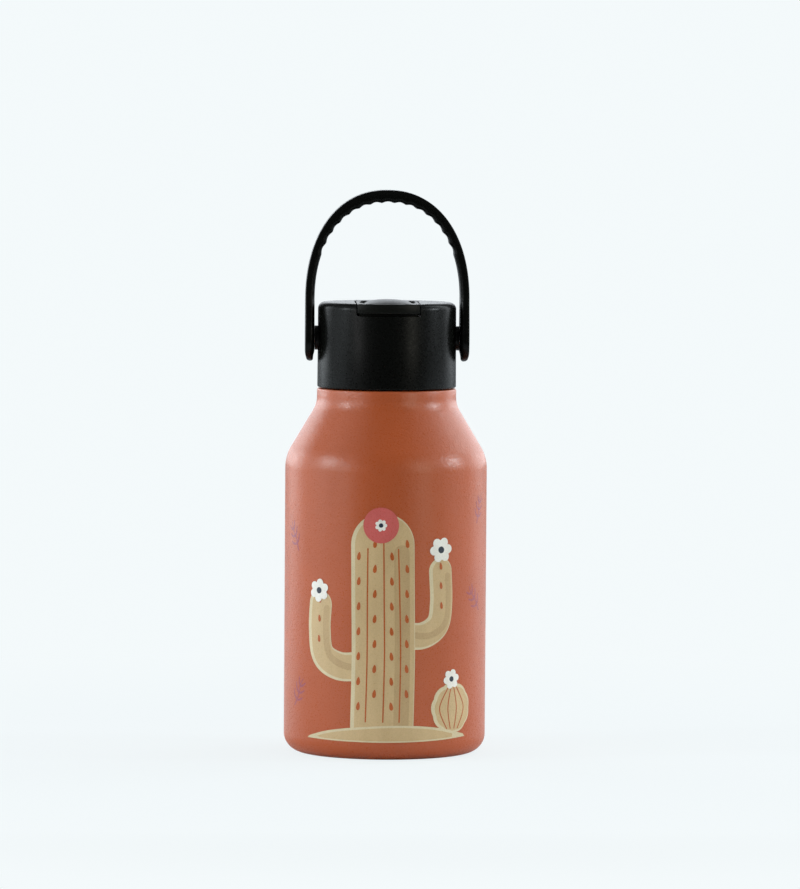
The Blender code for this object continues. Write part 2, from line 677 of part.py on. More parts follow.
def grid_solid(top_points, low_points, columns, rows):
    """Closed solid between two grids of points."""
    verts = top_points + low_points
    offset = len(top_points)
    faces = []
    for row in range(rows - 1):
        faces += ring_faces(row * columns, (row + 1) * columns, columns, closed=False)
        start = offset + row * columns
        faces += ring_faces(start, start + columns, columns, closed=False)
    border = [column for column in range(columns)]
    border += [row * columns + columns - 1 for row in range(1, rows)]
    border += [(rows - 1) * columns + column for column in range(columns - 2, -1, -1)]
    border += [row * columns for row in range(rows - 2, 0, -1)]
    for step, index in enumerate(border):
        after = border[(step + 1) % len(border)]
        faces.append((index, after, offset + after, offset + index))
    return verts, faces


def build_flip_cover(parent):
    """Flip cover with its thumb lip, spout vault and hinge barrel."""
    pivot = Vector((0.0, COVER_PIVOT_Y, COVER_PIVOT_Z))
    local = Matrix.Translation(-pivot)
    cover = make_piece("flip_cover", "black_plastic", moved(cover_plate(), local), pivot, parent)
    barrel = rod(COVER_BARREL_RADIUS, -COVER_HALF_WIDTH, COVER_HALF_WIDTH)
    bore = rod(COVER_PIN_RADIUS + GAP, -2 * COVER_HALF_WIDTH, 2 * COVER_HALF_WIDTH)
    combine(cover, make_cutter("barrel_tool", moved(barrel, across(pivot))), "UNION")
    combine(cover, make_cutter("barrel_bore_tool", moved(bore, across(pivot))), "DIFFERENCE")


def build_cover_pin(parent):
    """Steel pin that the flip cover turns on."""
    pin = rod(COVER_PIN_RADIUS, -COVER_PIN_REACH, COVER_PIN_REACH)
    shape = moved(pin, across((0.0, 0.0, 0.0)))
    make_piece("cover_pin", "steel", shape, (0.0, COVER_PIVOT_Y, COVER_PIVOT_Z), parent)


# ---------------------------------------------------------------- the spout and the straw
def build_spout_base(parent):
    """Soft grommet that seals the spout in the lid's port."""
    flange = CHANNEL_HALF_WIDTH - GAP
    foot_top = DECK_Z - GAP
    profile = [(SPOUT_BORE, SPOUT_FOOT_Z),
               (SPOUT_FOOT_RADIUS, SPOUT_FOOT_Z),
               (SPOUT_FOOT_RADIUS, foot_top),
               (SPOUT_STEM_RADIUS, foot_top),
               (SPOUT_STEM_RADIUS, CHANNEL_FLOOR_Z + GAP),
               (flange, CHANNEL_FLOOR_Z + GAP),
               (flange, SPOUT_TOP_Z),
               (SPOUT_BORE, SPOUT_TOP_Z)]
    make_piece("spout_base", "clear_silicone", turned(profile, SMALL_SEGMENTS), parent=parent)


def tube_along(path, radius, bore, segments):
    """Tube along a path in the plane x = 0, with square open ends."""
    frames = []
    for index, point in enumerate(path):
        before = path[max(index - 1, 0)]
        after = path[min(index + 1, len(path) - 1)]
        heading = (Vector(after) - Vector(before)).normalized()
        frames.append((Vector(point), heading.cross(Vector((1.0, 0.0, 0.0)))))
    verts = []
    for reach, order in ((radius, frames), (bore, frames[::-1])):
        for center, up in order:
            for step in range(segments):
                angle = 2 * math.pi * step / segments
                side = Vector((1.0, 0.0, 0.0)) * math.cos(angle) + up * math.sin(angle)
                verts.append(tuple(center + side * reach))
    count = 2 * len(frames)
    faces = []
    for ring in range(count):
        faces += ring_faces(ring * segments, ((ring + 1) % count) * segments, segments)
    return verts, faces


def build_spout_neck(parent):
    """Soft bend between the spout's base and its mouthpiece."""
    bend_z = SPOUT_AXIS_Z - ELBOW_BEND
    path = [(0.0, 0.0, SPOUT_TOP_Z + GAP)]
    for step in range(7):
        angle = math.pi / 2 * step / 6
        y = -ELBOW_BEND * (1 - math.cos(angle))
        path.append((0.0, y, bend_z + ELBOW_BEND * math.sin(angle)))
    path.append((0.0, -NOZZLE_START + GAP, SPOUT_AXIS_Z))
    shape = tube_along(path, ELBOW_RADIUS, ELBOW_BORE, SMALL_SEGMENTS)
    make_piece("spout_neck", "clear_silicone", shape, parent=parent)


def build_spout_nozzle(parent):
    """Mouthpiece of the spout, folded forward in its channel."""
    bulb_end = NOZZLE_END - NOZZLE_ROUND
    bulb_start = bulb_end - NOZZLE_BULB_LENGTH
    round_radius = NOZZLE_BULB - NOZZLE_ROUND
    profile = [(NOZZLE_BORE, NOZZLE_START),
               (NOZZLE_RADIUS - GAP, NOZZLE_START),
               (NOZZLE_RADIUS, NOZZLE_START + GAP),
               (NOZZLE_RADIUS, NOZZLE_START + NOZZLE_FOOT),
               (NOZZLE_WAIST, NOZZLE_START + NOZZLE_FOOT + NOZZLE_TAPER),
               (NOZZLE_WAIST, bulb_start - NOZZLE_TAPER)]
    profile.append((NOZZLE_BULB, bulb_start))
    profile += arc(round_radius, bulb_end, NOZZLE_ROUND, 0.0, math.pi / 2, 4)
    profile.append((NOZZLE_BORE, NOZZLE_END))
    shape = moved(turned(profile, SMALL_SEGMENTS), Matrix.Rotation(math.pi / 2, 4, "X"))
    make_piece("spout_nozzle", "clear_silicone", shape, (0.0, 0.0, SPOUT_AXIS_Z), parent)


def build_straw_adapter(parent):
    """Stiff joint between the spout's grommet and the straw."""
    flange_top = SPOUT_FOOT_Z - GAP
    flange_low = flange_top - ADAPTER_FLANGE
    upper = SPOUT_BORE - GAP
    lower = STRAW_BORE - GAP
    profile = [(ADAPTER_BORE, STRAW_TOP_Z - ADAPTER_REACH),
               (lower, STRAW_TOP_Z - ADAPTER_REACH),
               (lower, flange_low),
               (ADAPTER_FLANGE_RADIUS, flange_low),
               (ADAPTER_FLANGE_RADIUS, flange_top),
               (upper, flange_top),
               (upper, SPOUT_TOP_Z - ADAPTER_FLANGE),
               (ADAPTER_BORE, SPOUT_TOP_Z - ADAPTER_FLANGE)]
    make_piece("straw_adapter", "straw_plastic", turned(profile, SMALL_SEGMENTS), parent=parent)


def straw_height_rule(height, x, _y):
    """Cut the straw's lower end on a slant so that it can't seal on the base."""
    if height > STRAW_TOP_Z / 2:
        return height
    return height + STRAW_SLANT * (x + STRAW_RADIUS)


def build_straw(parent):
    """Straight drinking straw down to the bottle's base."""
    low = FLASK_BASE_Z + FLASK_WALL + STRAW_END_CLEARANCE
    profile = [(STRAW_BORE, low), (STRAW_RADIUS, low), (STRAW_RADIUS, STRAW_TOP_Z),
               (STRAW_BORE, STRAW_TOP_Z)]
    shape = turned(profile, SMALL_SEGMENTS, height_rule=straw_height_rule)
    make_piece("straw", "straw_plastic", shape, parent=parent)


# ---------------------------------------------------------------- the handle
def arch_point(angle):
    """Point of the handle's outer arch, from its right foot at 0 to its left at pi."""
    power = 2.0 / HANDLE_ARCH_POWER
    x = HANDLE_HALF_SPAN * math.copysign(abs(math.cos(angle)) ** power, math.cos(angle))
    return x, HANDLE_ARCH_Z + HANDLE_ARCH_RISE * max(math.sin(angle), 0.0) ** power


def arch_stations(spacing):
    """Points and outward normals at even distances along the arch, right foot to left foot."""
    dense = [arch_point(math.pi * step / 600) for step in range(601)]
    points = np.array(dense)
    lengths = np.concatenate([[0.0], np.cumsum(np.linalg.norm(np.diff(points, axis=0), axis=1))])
    count = 2 * round(lengths[-1] / (2 * spacing))
    marks = np.linspace(0.0, lengths[-1], count + 1)
    xs = np.interp(marks, lengths, points[:, 0])
    zs = np.interp(marks, lengths, points[:, 1])
    tangents = np.stack([np.gradient(xs), np.gradient(zs)], axis=1)
    tangents /= np.linalg.norm(tangents, axis=1)[:, None]
    from_crown = marks - lengths[-1] / 2
    return [((x, z), (t[1], -t[0]), offset) for x, z, t, offset in zip(xs, zs, tangents, from_crown)]


def strap_half_width(z):
    """Half the strap's width, from the round ear up to the even strap."""
    if z < HANDLE_PIVOT_Z:
        return math.sqrt(max(EAR_RADIUS ** 2 - (z - HANDLE_PIVOT_Z) ** 2, 0.0))
    share = smooth_step(z, HANDLE_PIVOT_Z + EAR_RADIUS / 4, HANDLE_ARCH_Z + EAR_RADIUS / 4)
    return EAR_RADIUS + (HANDLE_HALF_WIDTH - EAR_RADIUS) * share


def leg_stations():
    """Stations of the straight right leg, from the ear's tip up to the arch."""
    low = HANDLE_PIVOT_Z - EAR_RADIUS
    turns = [math.pi / 2 * step / EAR_STEPS for step in range(1, EAR_STEPS + 1)]
    heights = [low + EAR_RADIUS * (1 - math.cos(turn)) for turn in turns]
    heights += list(np.linspace(HANDLE_PIVOT_Z, HANDLE_ARCH_Z, 5)[1:-1])
    stations = []
    for z in heights:
        share = smooth_step(z, low, low + EAR_RADIUS * 0.8)
        thickness = EAR_TIP_THICKNESS + (HANDLE_THICKNESS - EAR_TIP_THICKNESS) * share
        stations.append(((HANDLE_HALF_SPAN, z), (1.0, 0.0), thickness))
    return stations


def scallop_cut(offset):
    """Depth of the finger scallops on the inside of the arch."""
    if abs(offset) > SCALLOP_COUNT * SCALLOP_PITCH / 2:
        return 0.0
    return SCALLOP_DEPTH * math.cos(math.pi * offset / SCALLOP_PITCH) ** 2


def handle_stations():
    """All stations of the handle: outer point, outward normal and thickness."""
    right = leg_stations()
    stations = list(right)
    for point, normal, offset in arch_stations(SCALLOP_PITCH / 4):
        rise = max((point[1] - HANDLE_ARCH_Z) / HANDLE_ARCH_RISE, 0.0)
        thickness = HANDLE_THICKNESS + (HANDLE_CROWN_THICKNESS - HANDLE_THICKNESS) * rise ** 2
        stations.append((point, normal, thickness - scallop_cut(offset)))
    for (x, z), (nx, nz), thickness in reversed(right):
        stations.append(((-x, z), (-nx, nz), thickness))
    return stations


def handle_section(point, normal, thickness):
    """Eight corners of the strap's chamfered section at one station."""
    half = strap_half_width(point[1])
    bevel = min(HANDLE_CHAMFER, half / 3, thickness / 3)
    corners = []
    for width, depth in ((half - bevel, 0.0), (half, bevel), (half, thickness - bevel),
                         (half - bevel, thickness), (bevel - half, thickness),
                         (-half, thickness - bevel), (-half, bevel), (bevel - half, 0.0)):
        x = point[0] - normal[0] * depth
        z = point[1] - normal[1] * depth - HANDLE_PIVOT_Z
        corners.append((x, width, z))
    return corners


def build_handle(parent):
    """Bail handle with finger scallops and round ears."""
    verts = []
    stations = handle_stations()
    for point, normal, thickness in stations:
        verts += handle_section(point, normal, thickness)
    corners = len(verts) // len(stations)
    faces = [tuple(range(corners)), tuple(range(len(verts) - corners, len(verts)))]
    for index in range(len(stations) - 1):
        faces += ring_faces(index * corners, (index + 1) * corners, corners)
    handle = make_piece("handle", "black_plastic", (verts, faces), (0.0, 0.0, HANDLE_PIVOT_Z), parent)
    inner = HANDLE_HALF_SPAN - HANDLE_THICKNESS
    for name, side in (("left", -1), ("right", 1)):
        hole = rod(PIVOT_PIN_RADIUS + GAP, inner - HANDLE_THICKNESS, PIVOT_PIN_REACH + GAP)
        tool = moved(hole, across((0.0, 0.0, HANDLE_PIVOT_Z), side))
        combine(handle, make_cutter(name + "_ear_tool", tool), "DIFFERENCE")


def build_handle_pivots(handle_frame, lid_frame):
    """Steel pins in the ears and the flanged bushes that they turn in."""
    flange_x = BUSH_OUTER - BUSH_FLANGE
    bush = [(BUSH_BORE, BUSH_INNER_X), (BUSH_RADIUS, BUSH_INNER_X), (BUSH_RADIUS, flange_x),
            (BUSH_FLANGE_RADIUS, flange_x), (BUSH_FLANGE_RADIUS, BUSH_OUTER), (BUSH_BORE, BUSH_OUTER)]
    for name, side in (("left", -1), ("right", 1)):
        spot = (0.0, 0.0, HANDLE_PIVOT_Z)
        turn = across((0.0, 0.0, 0.0), side)
        pin = moved(rod(PIVOT_PIN_RADIUS, BUSH_INNER_X, PIVOT_PIN_REACH), turn)
        make_piece("handle_pin_" + name, "steel", pin, spot, handle_frame)
        sleeve = moved(turned(bush, SMALL_SEGMENTS), turn)
        make_piece("pivot_bush_" + name, "liner_plastic", sleeve, spot, lid_frame)


# ---------------------------------------------------------------- assembly
def make_frame(name, location=(0, 0, 0)):
    """Empty that carries the pieces which move together."""
    frame = bpy.data.objects.new(name, None)
    frame.location = location
    bpy.context.collection.objects.link(frame)
    return frame


def main():
    """Build the whole bottle."""
    clear_scene()
    bottle = make_frame("bottle_frame")
    lid = make_frame("lid_frame", (0, 0, LID_BOTTOM_Z))
    swing = make_frame("handle_frame", (0, 0, HANDLE_PIVOT_Z))
    for build in (build_outer_shell, build_inner_flask, build_base_plate, build_base_cover,
                  build_seal_bead, build_getter):
        build(bottle)
    for build in (build_lid_shell, build_lid_liner, build_gasket, build_lid_foam,
                  build_vent_valve, build_flip_cover, build_cover_pin, build_spout_base,
                  build_spout_neck, build_spout_nozzle, build_straw_adapter, build_straw):
        build(lid)
    build_handle(swing)
    build_handle_pivots(swing, lid)


main()
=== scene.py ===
"""Looks of a children's insulated water bottle, laid out as an add-on and run as a script.

Every piece is built at its place, and all but the spout's bent neck ride on a body of the frame.
"""

import math

import bmesh
import bpy
import numpy as np
from bpy.props import FloatProperty, FloatVectorProperty, IntProperty, PointerProperty
from mathutils import Matrix, Vector
from mathutils.geometry import delaunay_2d_cdt


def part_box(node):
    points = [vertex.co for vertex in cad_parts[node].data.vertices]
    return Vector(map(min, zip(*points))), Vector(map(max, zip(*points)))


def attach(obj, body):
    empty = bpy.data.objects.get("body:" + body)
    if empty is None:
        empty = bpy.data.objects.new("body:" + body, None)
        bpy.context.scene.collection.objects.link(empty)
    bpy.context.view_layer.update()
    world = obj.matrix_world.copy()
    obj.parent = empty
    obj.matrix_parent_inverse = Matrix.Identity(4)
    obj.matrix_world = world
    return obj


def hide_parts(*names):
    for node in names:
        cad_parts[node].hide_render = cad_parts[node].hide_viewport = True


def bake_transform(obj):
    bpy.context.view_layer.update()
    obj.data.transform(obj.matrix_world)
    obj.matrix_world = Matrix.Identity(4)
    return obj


bl_info = {
    "name": "Water Bottle Looks",
    "version": (1, 0, 0),
    "blender": (4, 5, 0),
    "location": "View3D > Sidebar > Bottle",
    "description": "Builds the looks of an insulated water bottle over its packed frame",
    "category": "Object",
}

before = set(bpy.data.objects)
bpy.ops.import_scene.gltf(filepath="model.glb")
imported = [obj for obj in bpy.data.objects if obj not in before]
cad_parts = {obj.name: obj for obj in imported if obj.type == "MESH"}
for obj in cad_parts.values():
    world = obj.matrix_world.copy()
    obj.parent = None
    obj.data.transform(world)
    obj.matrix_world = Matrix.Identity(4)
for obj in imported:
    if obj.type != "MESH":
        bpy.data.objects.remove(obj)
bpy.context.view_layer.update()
BOX = {name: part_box(name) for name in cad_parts}

FULL_TURN = 2 * math.pi
GAP = 0.0003
BODY_SEGMENTS = 144
LID_SEGMENTS = 128
SMALL_SEGMENTS = 40

# Places that the frame's boxes give.
BODY_RADIUS = BOX["outer_shell"][1].x
NECK_TOP = BOX["outer_shell"][1].z
LID_TOP = BOX["lid_shell"][1].z
LID_BOTTOM = BOX["lid_shell"][0].z
LIP_TOP = BOX["inner_flask"][1].z
FLASK_BASE = BOX["inner_flask"][0].z
DECK_TOP = BOX["lid_liner"][1].z
HANDLE_TOP = BOX["handle"][1].z
HANDLE_SPAN = BOX["handle"][1].x
PIVOT_Z = (BOX["handle_pin_left"][0].z + BOX["handle_pin_left"][1].z) / 2
HINGE_Y = (BOX["cover_pin"][0].y + BOX["cover_pin"][1].y) / 2
HINGE_Z = (BOX["cover_pin"][0].z + BOX["cover_pin"][1].z) / 2
SPOUT_Z = (BOX["spout_nozzle"][0].z + BOX["spout_nozzle"][1].z) / 2

THREAD_PITCH = 0.0040
THREAD_DEPTH = 0.0011
SPOT_FACE = 0.0244
RECESS_FLOOR = 0.1586
CHANNEL_FLOOR = 0.1535
ARCH_FOOT = 0.1638
NECK_THREAD = (0.1345, 0.1445)
LID_THREAD = (0.1350, 0.1432)
THREAD_CREST, THREAD_ROOT = 0.00040, 0.00120
THREAD_ROW = 0.00022

# Walls and bores that more than one piece follows.
SHELL_WALL = 0.0008
FLASK_INSET = 0.0034
FLASK_WALL = 0.0007
FLASK_FILLET = 0.0080
NECK_WALL = 0.0010
BASE_OPENING = 0.0244
FOOT_RADIUS = 0.0270
LID_WALL = 0.0016
LID_ROOF = 0.0020
PIN_BORE = 0.0023
HINGE_BORE = 0.0012


# ---------------------------------------------------------------- sizes and colours
def length(name, description, default):
    """A length that a user may change."""
    return FloatProperty(name=name, description=description, default=default,
                         subtype="DISTANCE", unit="LENGTH", precision=4)


def colour(name, description, default):
    """A colour that a user may change."""
    return FloatVectorProperty(name=name, description=description, default=default,
                               subtype="COLOR", size=3, min=0.0, max=1.0)


class BottleSizes(bpy.types.PropertyGroup):
    """Sizes of the visible forms."""

    base_fillet: length("Base fillet", "Radius of the rounded base corner", 0.0068)
    wall_top: length("Wall top", "Height where the straight wall ends", 0.1030)
    shoulder_fillet: length("Shoulder fillet", "Radius of the bend above the wall", 0.0150)
    shoulder_angle: FloatProperty(name="Shoulder angle", description="Slope of the shoulder",
                                  default=math.radians(30.7), subtype="ANGLE", unit="ROTATION")
    collar_radius: length("Collar radius", "Radius of the collar below the lid", 0.0252)
    collar_fillet: length("Collar fillet", "Radius of the bend below the collar", 0.0095)
    collar_top: length("Collar top", "Height of the collar's top edge", 0.1318)
    neck_radius: length("Neck radius", "Radius of the neck between its threads", 0.0194)
    lid_radius: length("Lid radius", "Radius of the lid", 0.0250)
    lid_fillet: length("Lid fillet", "Radius of the lid's top edge", 0.0023)
    cover_half: length("Cover half width", "Half the width of the flip cover", 0.0112)
    cover_front: length("Cover front", "Radius that the cover's front edge follows", 0.0254)
    cover_lip: length("Cover lip", "Height of the cover's thumb lip", 0.0033)
    vault_half: length("Vault half width", "Half the width of the cover's vault", 0.0084)
    vault_rise: length("Vault rise", "Height of the vault above the cover", 0.0014)
    handle_thickness: length("Handle thickness", "Thickness of the handle's legs", 0.0033)
    crown_thickness: length("Crown thickness", "Thickness of the handle's crown", 0.0046)
    handle_half_width: length("Handle half width", "Half the width of the strap", 0.0055)
    ear_radius: length("Ear radius", "Radius of the handle's ears", 0.0084)
    scallop_pitch: length("Scallop pitch", "Distance between finger scallops", 0.0051)
    scallop_depth: length("Scallop depth", "Depth of a finger scallop", 0.0005)
    scallop_count: IntProperty(name="Scallops", description="How many finger scallops",
                               default=15, min=1, max=31)


class BottleColors(bpy.types.PropertyGroup):
    """Colours of the finishes, in scene linear values."""

    coat: colour("Powder coat", "Body coat", (0.434, 0.0858, 0.0214))
    black: colour("Black plastic", "Lid and handle", (0.0024, 0.0026, 0.0021))
    steel: colour("Steel", "Bare steel", (0.60, 0.60, 0.61))
    silicone: colour("Silicone", "Spout", (0.80, 0.83, 0.84))
    tan: colour("Tan ink", "Main print colour", (0.585, 0.422, 0.217))
    umber: colour("Umber ink", "Shaded side of the print", (0.500, 0.347, 0.170))
    cream: colour("Cream ink", "Light edges of the print", (0.670, 0.575, 0.362))
    white: colour("White ink", "Blossoms of the print", (0.860, 0.840, 0.770))
    coral: colour("Coral ink", "Round flower of the print", (0.600, 0.118, 0.105))
    rust: colour("Rust ink", "Drops and fine lines", (0.460, 0.100, 0.017))
    navy: colour("Navy ink", "Small dots", (0.019, 0.027, 0.044))
    plum: colour("Plum ink", "Sprigs", (0.315, 0.062, 0.092))


# ---------------------------------------------------------------- meshes
def ring_faces(first, second, count, closed=True):
    """Faces between two rows of points."""
    steps = count if closed else count - 1
    return [(first + step, first + (step + 1) % count, second + (step + 1) % count, second + step)
            for step in range(steps)]


def make_mesh_object(name, verts, faces, smooth_angle=35):
    """Object whose faces point out and whose gentle edges are smooth."""
    mesh = bpy.data.meshes.new(name)
    shape = bmesh.new()
    points = [shape.verts.new(point) for point in verts]
    for face in faces:
        shape.faces.new([points[index] for index in face])
    bmesh.ops.recalc_face_normals(shape, faces=shape.faces)
    shape.to_mesh(mesh)
    shape.free()
    mesh.shade_smooth()
    mesh.set_sharp_from_angle(angle=math.radians(smooth_angle))
    item = bpy.data.objects.new(name, mesh)
    bpy.context.scene.collection.objects.link(item)
    return item


def finish_piece(item, body, node, material):
    """Give a piece its material and its body, and hide the node that it stands for."""
    item.data.materials.clear()
    item.data.materials.append(material)
    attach(item, body)
    if node:
        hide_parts(node)
    return item


def turned(profile, segments, radius_rule=None, height_rule=None):
    """Turn a profile of (radius, height) about Z. A profile that starts on the axis ends there."""
    solid_core = profile[0][0] == 0.0
    verts, faces = [], []
    rings = profile[1:-1] if solid_core else profile
    for radius, height in rings:
        for step in range(segments):
            angle = FULL_TURN * step / segments
            reach = radius_rule(radius, height, angle) if radius_rule else radius
            x, y = reach * math.cos(angle), reach * math.sin(angle)
            verts.append((x, y, height_rule(height, x) if height_rule else height))
    for row in range(len(rings) - 1):
        faces += ring_faces(row * segments, (row + 1) * segments, segments)
    last = (len(rings) - 1) * segments
    if not solid_core:
        return verts, faces + ring_faces(last, 0, segments)
    pole = len(verts)
    verts += [(0.0, 0.0, profile[0][1]), (0.0, 0.0, profile[-1][1])]
    for step in range(segments):
        after = (step + 1) % segments
        faces.append((pole, after, step))
        faces.append((pole + 1, last + step, last + after))
    return verts, faces


def softened(profile, radius, steps=3):
    """Round the corners of a profile of (radius, height) points."""
    closed = profile[0][0] != 0.0
    count = len(profile)
    points = []
    for index, corner in enumerate(profile):
        if not closed and index in (0, count - 1):
            points.append(corner)
            continue
        here = Vector(corner)
        before = Vector(profile[index - 1]) - here
        after = Vector(profile[(index + 1) % count]) - here
        reach = min(radius, before.length * 0.45, after.length * 0.45)
        turn = before.angle(-after, 0.0) if before.length > 1e-9 and after.length > 1e-9 else 0.0
        if reach < 2e-5 or turn < math.radians(25):
            points.append(corner)
            continue
        start = here + before.normalized() * reach
        end = here + after.normalized() * reach
        for step in range(steps + 1):
            t = step / steps
            mid = start * (1 - t) ** 2 + here * (2 * t * (1 - t)) + end * t ** 2
            points.append((mid.x, mid.y))
    return points


def moved(shape, matrix):
    """Move the points of a shape."""
    return [tuple(matrix @ Vector(point)) for point in shape[0]], shape[1]


def across(point, side=1):
    """Matrix that lays a piece turned about Z along X."""
    return Matrix.Translation(point) @ Matrix.Rotation(side * math.pi / 2, 4, "Y")


def arc(center_r, center_z, radius, start, end, count):
    """Points of (radius, height) along an arc."""
    points = []
    for step in range(count):
        angle = start + (end - start) * step / (count - 1)
        points.append((center_r + radius * math.cos(angle), center_z + radius * math.sin(angle)))
    return points


def smooth_step(value, low, high):
    """Smooth ramp from 0 at low to 1 at high."""
    ratio = min(max((value - low) / (high - low), 0.0), 1.0)
    return ratio * ratio * (3 - 2 * ratio)


def stacked(outlines):
    """Closed solid through flat outlines of equal count, each with its height."""
    count = len(outlines[0][0])
    verts = [(x, y, height) for outline, height in outlines for x, y in outline]
    faces = [tuple(range(count)), tuple(range(len(verts) - count, len(verts)))]
    for row in range(len(outlines) - 1):
        faces += ring_faces(row * count, (row + 1) * count, count)
    return verts, faces


# ---------------------------------------------------------------- materials
class Finish:
    """Node tree of one finish, with short calls for the nodes that it uses."""

    def __init__(self, name, roughness=0.5, metallic=0.0):
        self.material = bpy.data.materials.new(name)
        self.material.use_nodes = True
        self.tree = self.material.node_tree
        self.shader = self.tree.nodes["Principled BSDF"]
        self.shader.inputs["Roughness"].default_value = roughness
        self.shader.inputs["Metallic"].default_value = metallic
        self.place = self.tree.nodes.new("ShaderNodeTexCoord").outputs["Object"]

    def link(self, source, target):
        """Join an output to an input."""
        self.tree.links.new(source, target)

    def stretched_place(self, scale):
        """Object coordinates with their own scale along each axis."""
        node = self.tree.nodes.new("ShaderNodeMapping")
        node.inputs["Scale"].default_value = scale
        self.link(self.place, node.inputs["Vector"])
        return node.outputs["Vector"]

    def noise(self, scale, detail=2.0, roughness=0.5, place=None):
        """Noise between 0 and 1, with its scale in waves per metre."""
        node = self.tree.nodes.new("ShaderNodeTexNoise")
        node.inputs["Scale"].default_value = scale
        node.inputs["Detail"].default_value = detail
        node.inputs["Roughness"].default_value = roughness
        self.link(place or self.place, node.inputs["Vector"])
        return node.outputs["Fac"]

    def cells(self, scale):
        """Distance field of small cells."""
        node = self.tree.nodes.new("ShaderNodeTexVoronoi")
        node.inputs["Scale"].default_value = scale
        self.link(self.place, node.inputs["Vector"])
        return node.outputs["Distance"]

    def spread(self, source, low, high, from_low=0.3, from_high=0.7):
        """Map a noise's middle range to new values."""
        node = self.tree.nodes.new("ShaderNodeMapRange")
        node.inputs["From Min"].default_value = from_low
        node.inputs["From Max"].default_value = from_high
        node.inputs["To Min"].default_value = low
        node.inputs["To Max"].default_value = high
        self.link(source, node.inputs["Value"])
        return node.outputs["Result"]

    def two_tones(self, source, dark, light):
        """Blend two colours by a value."""
        node = self.tree.nodes.new("ShaderNodeMix")
        node.data_type = "RGBA"
        node.inputs["A"].default_value = (*dark, 1.0)
        node.inputs["B"].default_value = (*light, 1.0)
        self.link(source, node.inputs["Factor"])
        return node.outputs["Result"]

    def multiplied(self, first, second, factor):
        """Multiply one colour by another, as far as the factor says."""
        node = self.tree.nodes.new("ShaderNodeMix")
        node.data_type = "RGBA"
        node.blend_type = "MULTIPLY"
        node.inputs["Factor"].default_value = factor
        self.link(first, node.inputs["A"])
        self.link(second, node.inputs["B"])
        return node.outputs["Result"]

    def bump(self, height, strength, distance, below=None):
        """Bump from a height, over an earlier bump if one is given."""
        node = self.tree.nodes.new("ShaderNodeBump")
        node.inputs["Strength"].default_value = strength
        node.inputs["Distance"].default_value = distance
        self.link(height, node.inputs["Height"])
        if below is not None:
            self.link(below, node.inputs["Normal"])
        return node.outputs["Normal"]

    def use(self, socket, source):
        """Feed one socket of the shader."""
        self.link(source, self.shader.inputs[socket])


def shade(color, factor):
    """A colour made darker or lighter."""
    return tuple(min(channel * factor, 1.0) for channel in color)


def coat_grain(finish, strength):
    """Fine orange-peel, grain and sparkle of a satin powder coat."""
    peel = finish.bump(finish.noise(420, 2.0), strength * 0.5, 0.00020)
    grain = finish.bump(finish.noise(1150, 2.0, 0.6), strength, 0.00016, peel)
    finish.use("Normal", grain)
    finish.use("Roughness", finish.spread(finish.noise(2300, 2.0, 0.6), 0.20, 0.54))


def powder_coat(color):
    """Satin powder coat with a fine grain and faint colour drift."""
    finish = Finish("satin_coat")
    drift = finish.spread(finish.noise(30, 2.0), 0.0, 1.0)
    speck = finish.spread(finish.noise(3400, 2.0, 0.7), 0.0, 1.0, 0.35, 0.65)
    broad = finish.two_tones(drift, shade(color, 0.965), shade(color, 1.035))
    grains = finish.two_tones(speck, (0.86, 0.86, 0.86), (1.0, 1.0, 1.0))
    finish.use("Base Color", finish.multiplied(broad, grains, 0.3))
    coat_grain(finish, 0.5)
    return finish.material


def print_ink(name, color):
    """Printed ink with soft brush marks, over the grain of the coat below it."""
    finish = Finish("ink_" + name)
    mottle = finish.spread(finish.noise(2200, 3.0, 0.6), 0.0, 1.0, 0.35, 0.65)
    brush = finish.noise(1.0, 3.0, 0.55, finish.stretched_place((170, 170, 45)))
    fine = finish.two_tones(mottle, shade(color, 0.95), shade(color, 1.04))
    broad = finish.two_tones(finish.spread(brush, 0.0, 1.0), (0.88, 0.86, 0.83), (1.0, 1.0, 1.0))
    finish.use("Base Color", finish.multiplied(fine, broad, 1.0))
    coat_grain(finish, 0.5)
    return finish.material


def textured_plastic(name, color, roughness=0.5, grain=2600, strength=0.5):
    """Moulded plastic with an eroded texture."""
    finish = Finish(name)
    finish.shader.inputs["Specular IOR Level"].default_value = 0.11
    tone = finish.spread(finish.noise(grain * 0.8, 2.0), 0.0, 1.0, 0.35, 0.65)
    finish.use("Base Color", finish.two_tones(tone, shade(color, 0.75), shade(color, 1.25)))
    finish.use("Roughness", finish.spread(finish.noise(grain * 0.5, 2.0), roughness - 0.06,
                                          roughness + 0.06))
    coarse = finish.bump(finish.noise(grain * 0.45, 2.0), strength * 0.4, 0.00012)
    finish.use("Normal", finish.bump(finish.noise(grain, 3.0, 0.65), strength, 0.00007, coarse))
    return finish.material


def brushed_steel(name, color, roughness=0.26):
    """Steel with fine turning lines round its axis."""
    finish = Finish(name, metallic=1.0)
    lines = finish.noise(1.0, 3.0, 0.6, finish.stretched_place((40, 40, 5200)))
    finish.use("Base Color", finish.two_tones(finish.spread(lines, 0.0, 1.0), shade(color, 0.92),
                                              shade(color, 1.05)))
    finish.use("Roughness", finish.spread(lines, roughness - 0.05, roughness + 0.07))
    finish.use("Normal", finish.bump(lines, 0.12, 0.00005))
    return finish.material


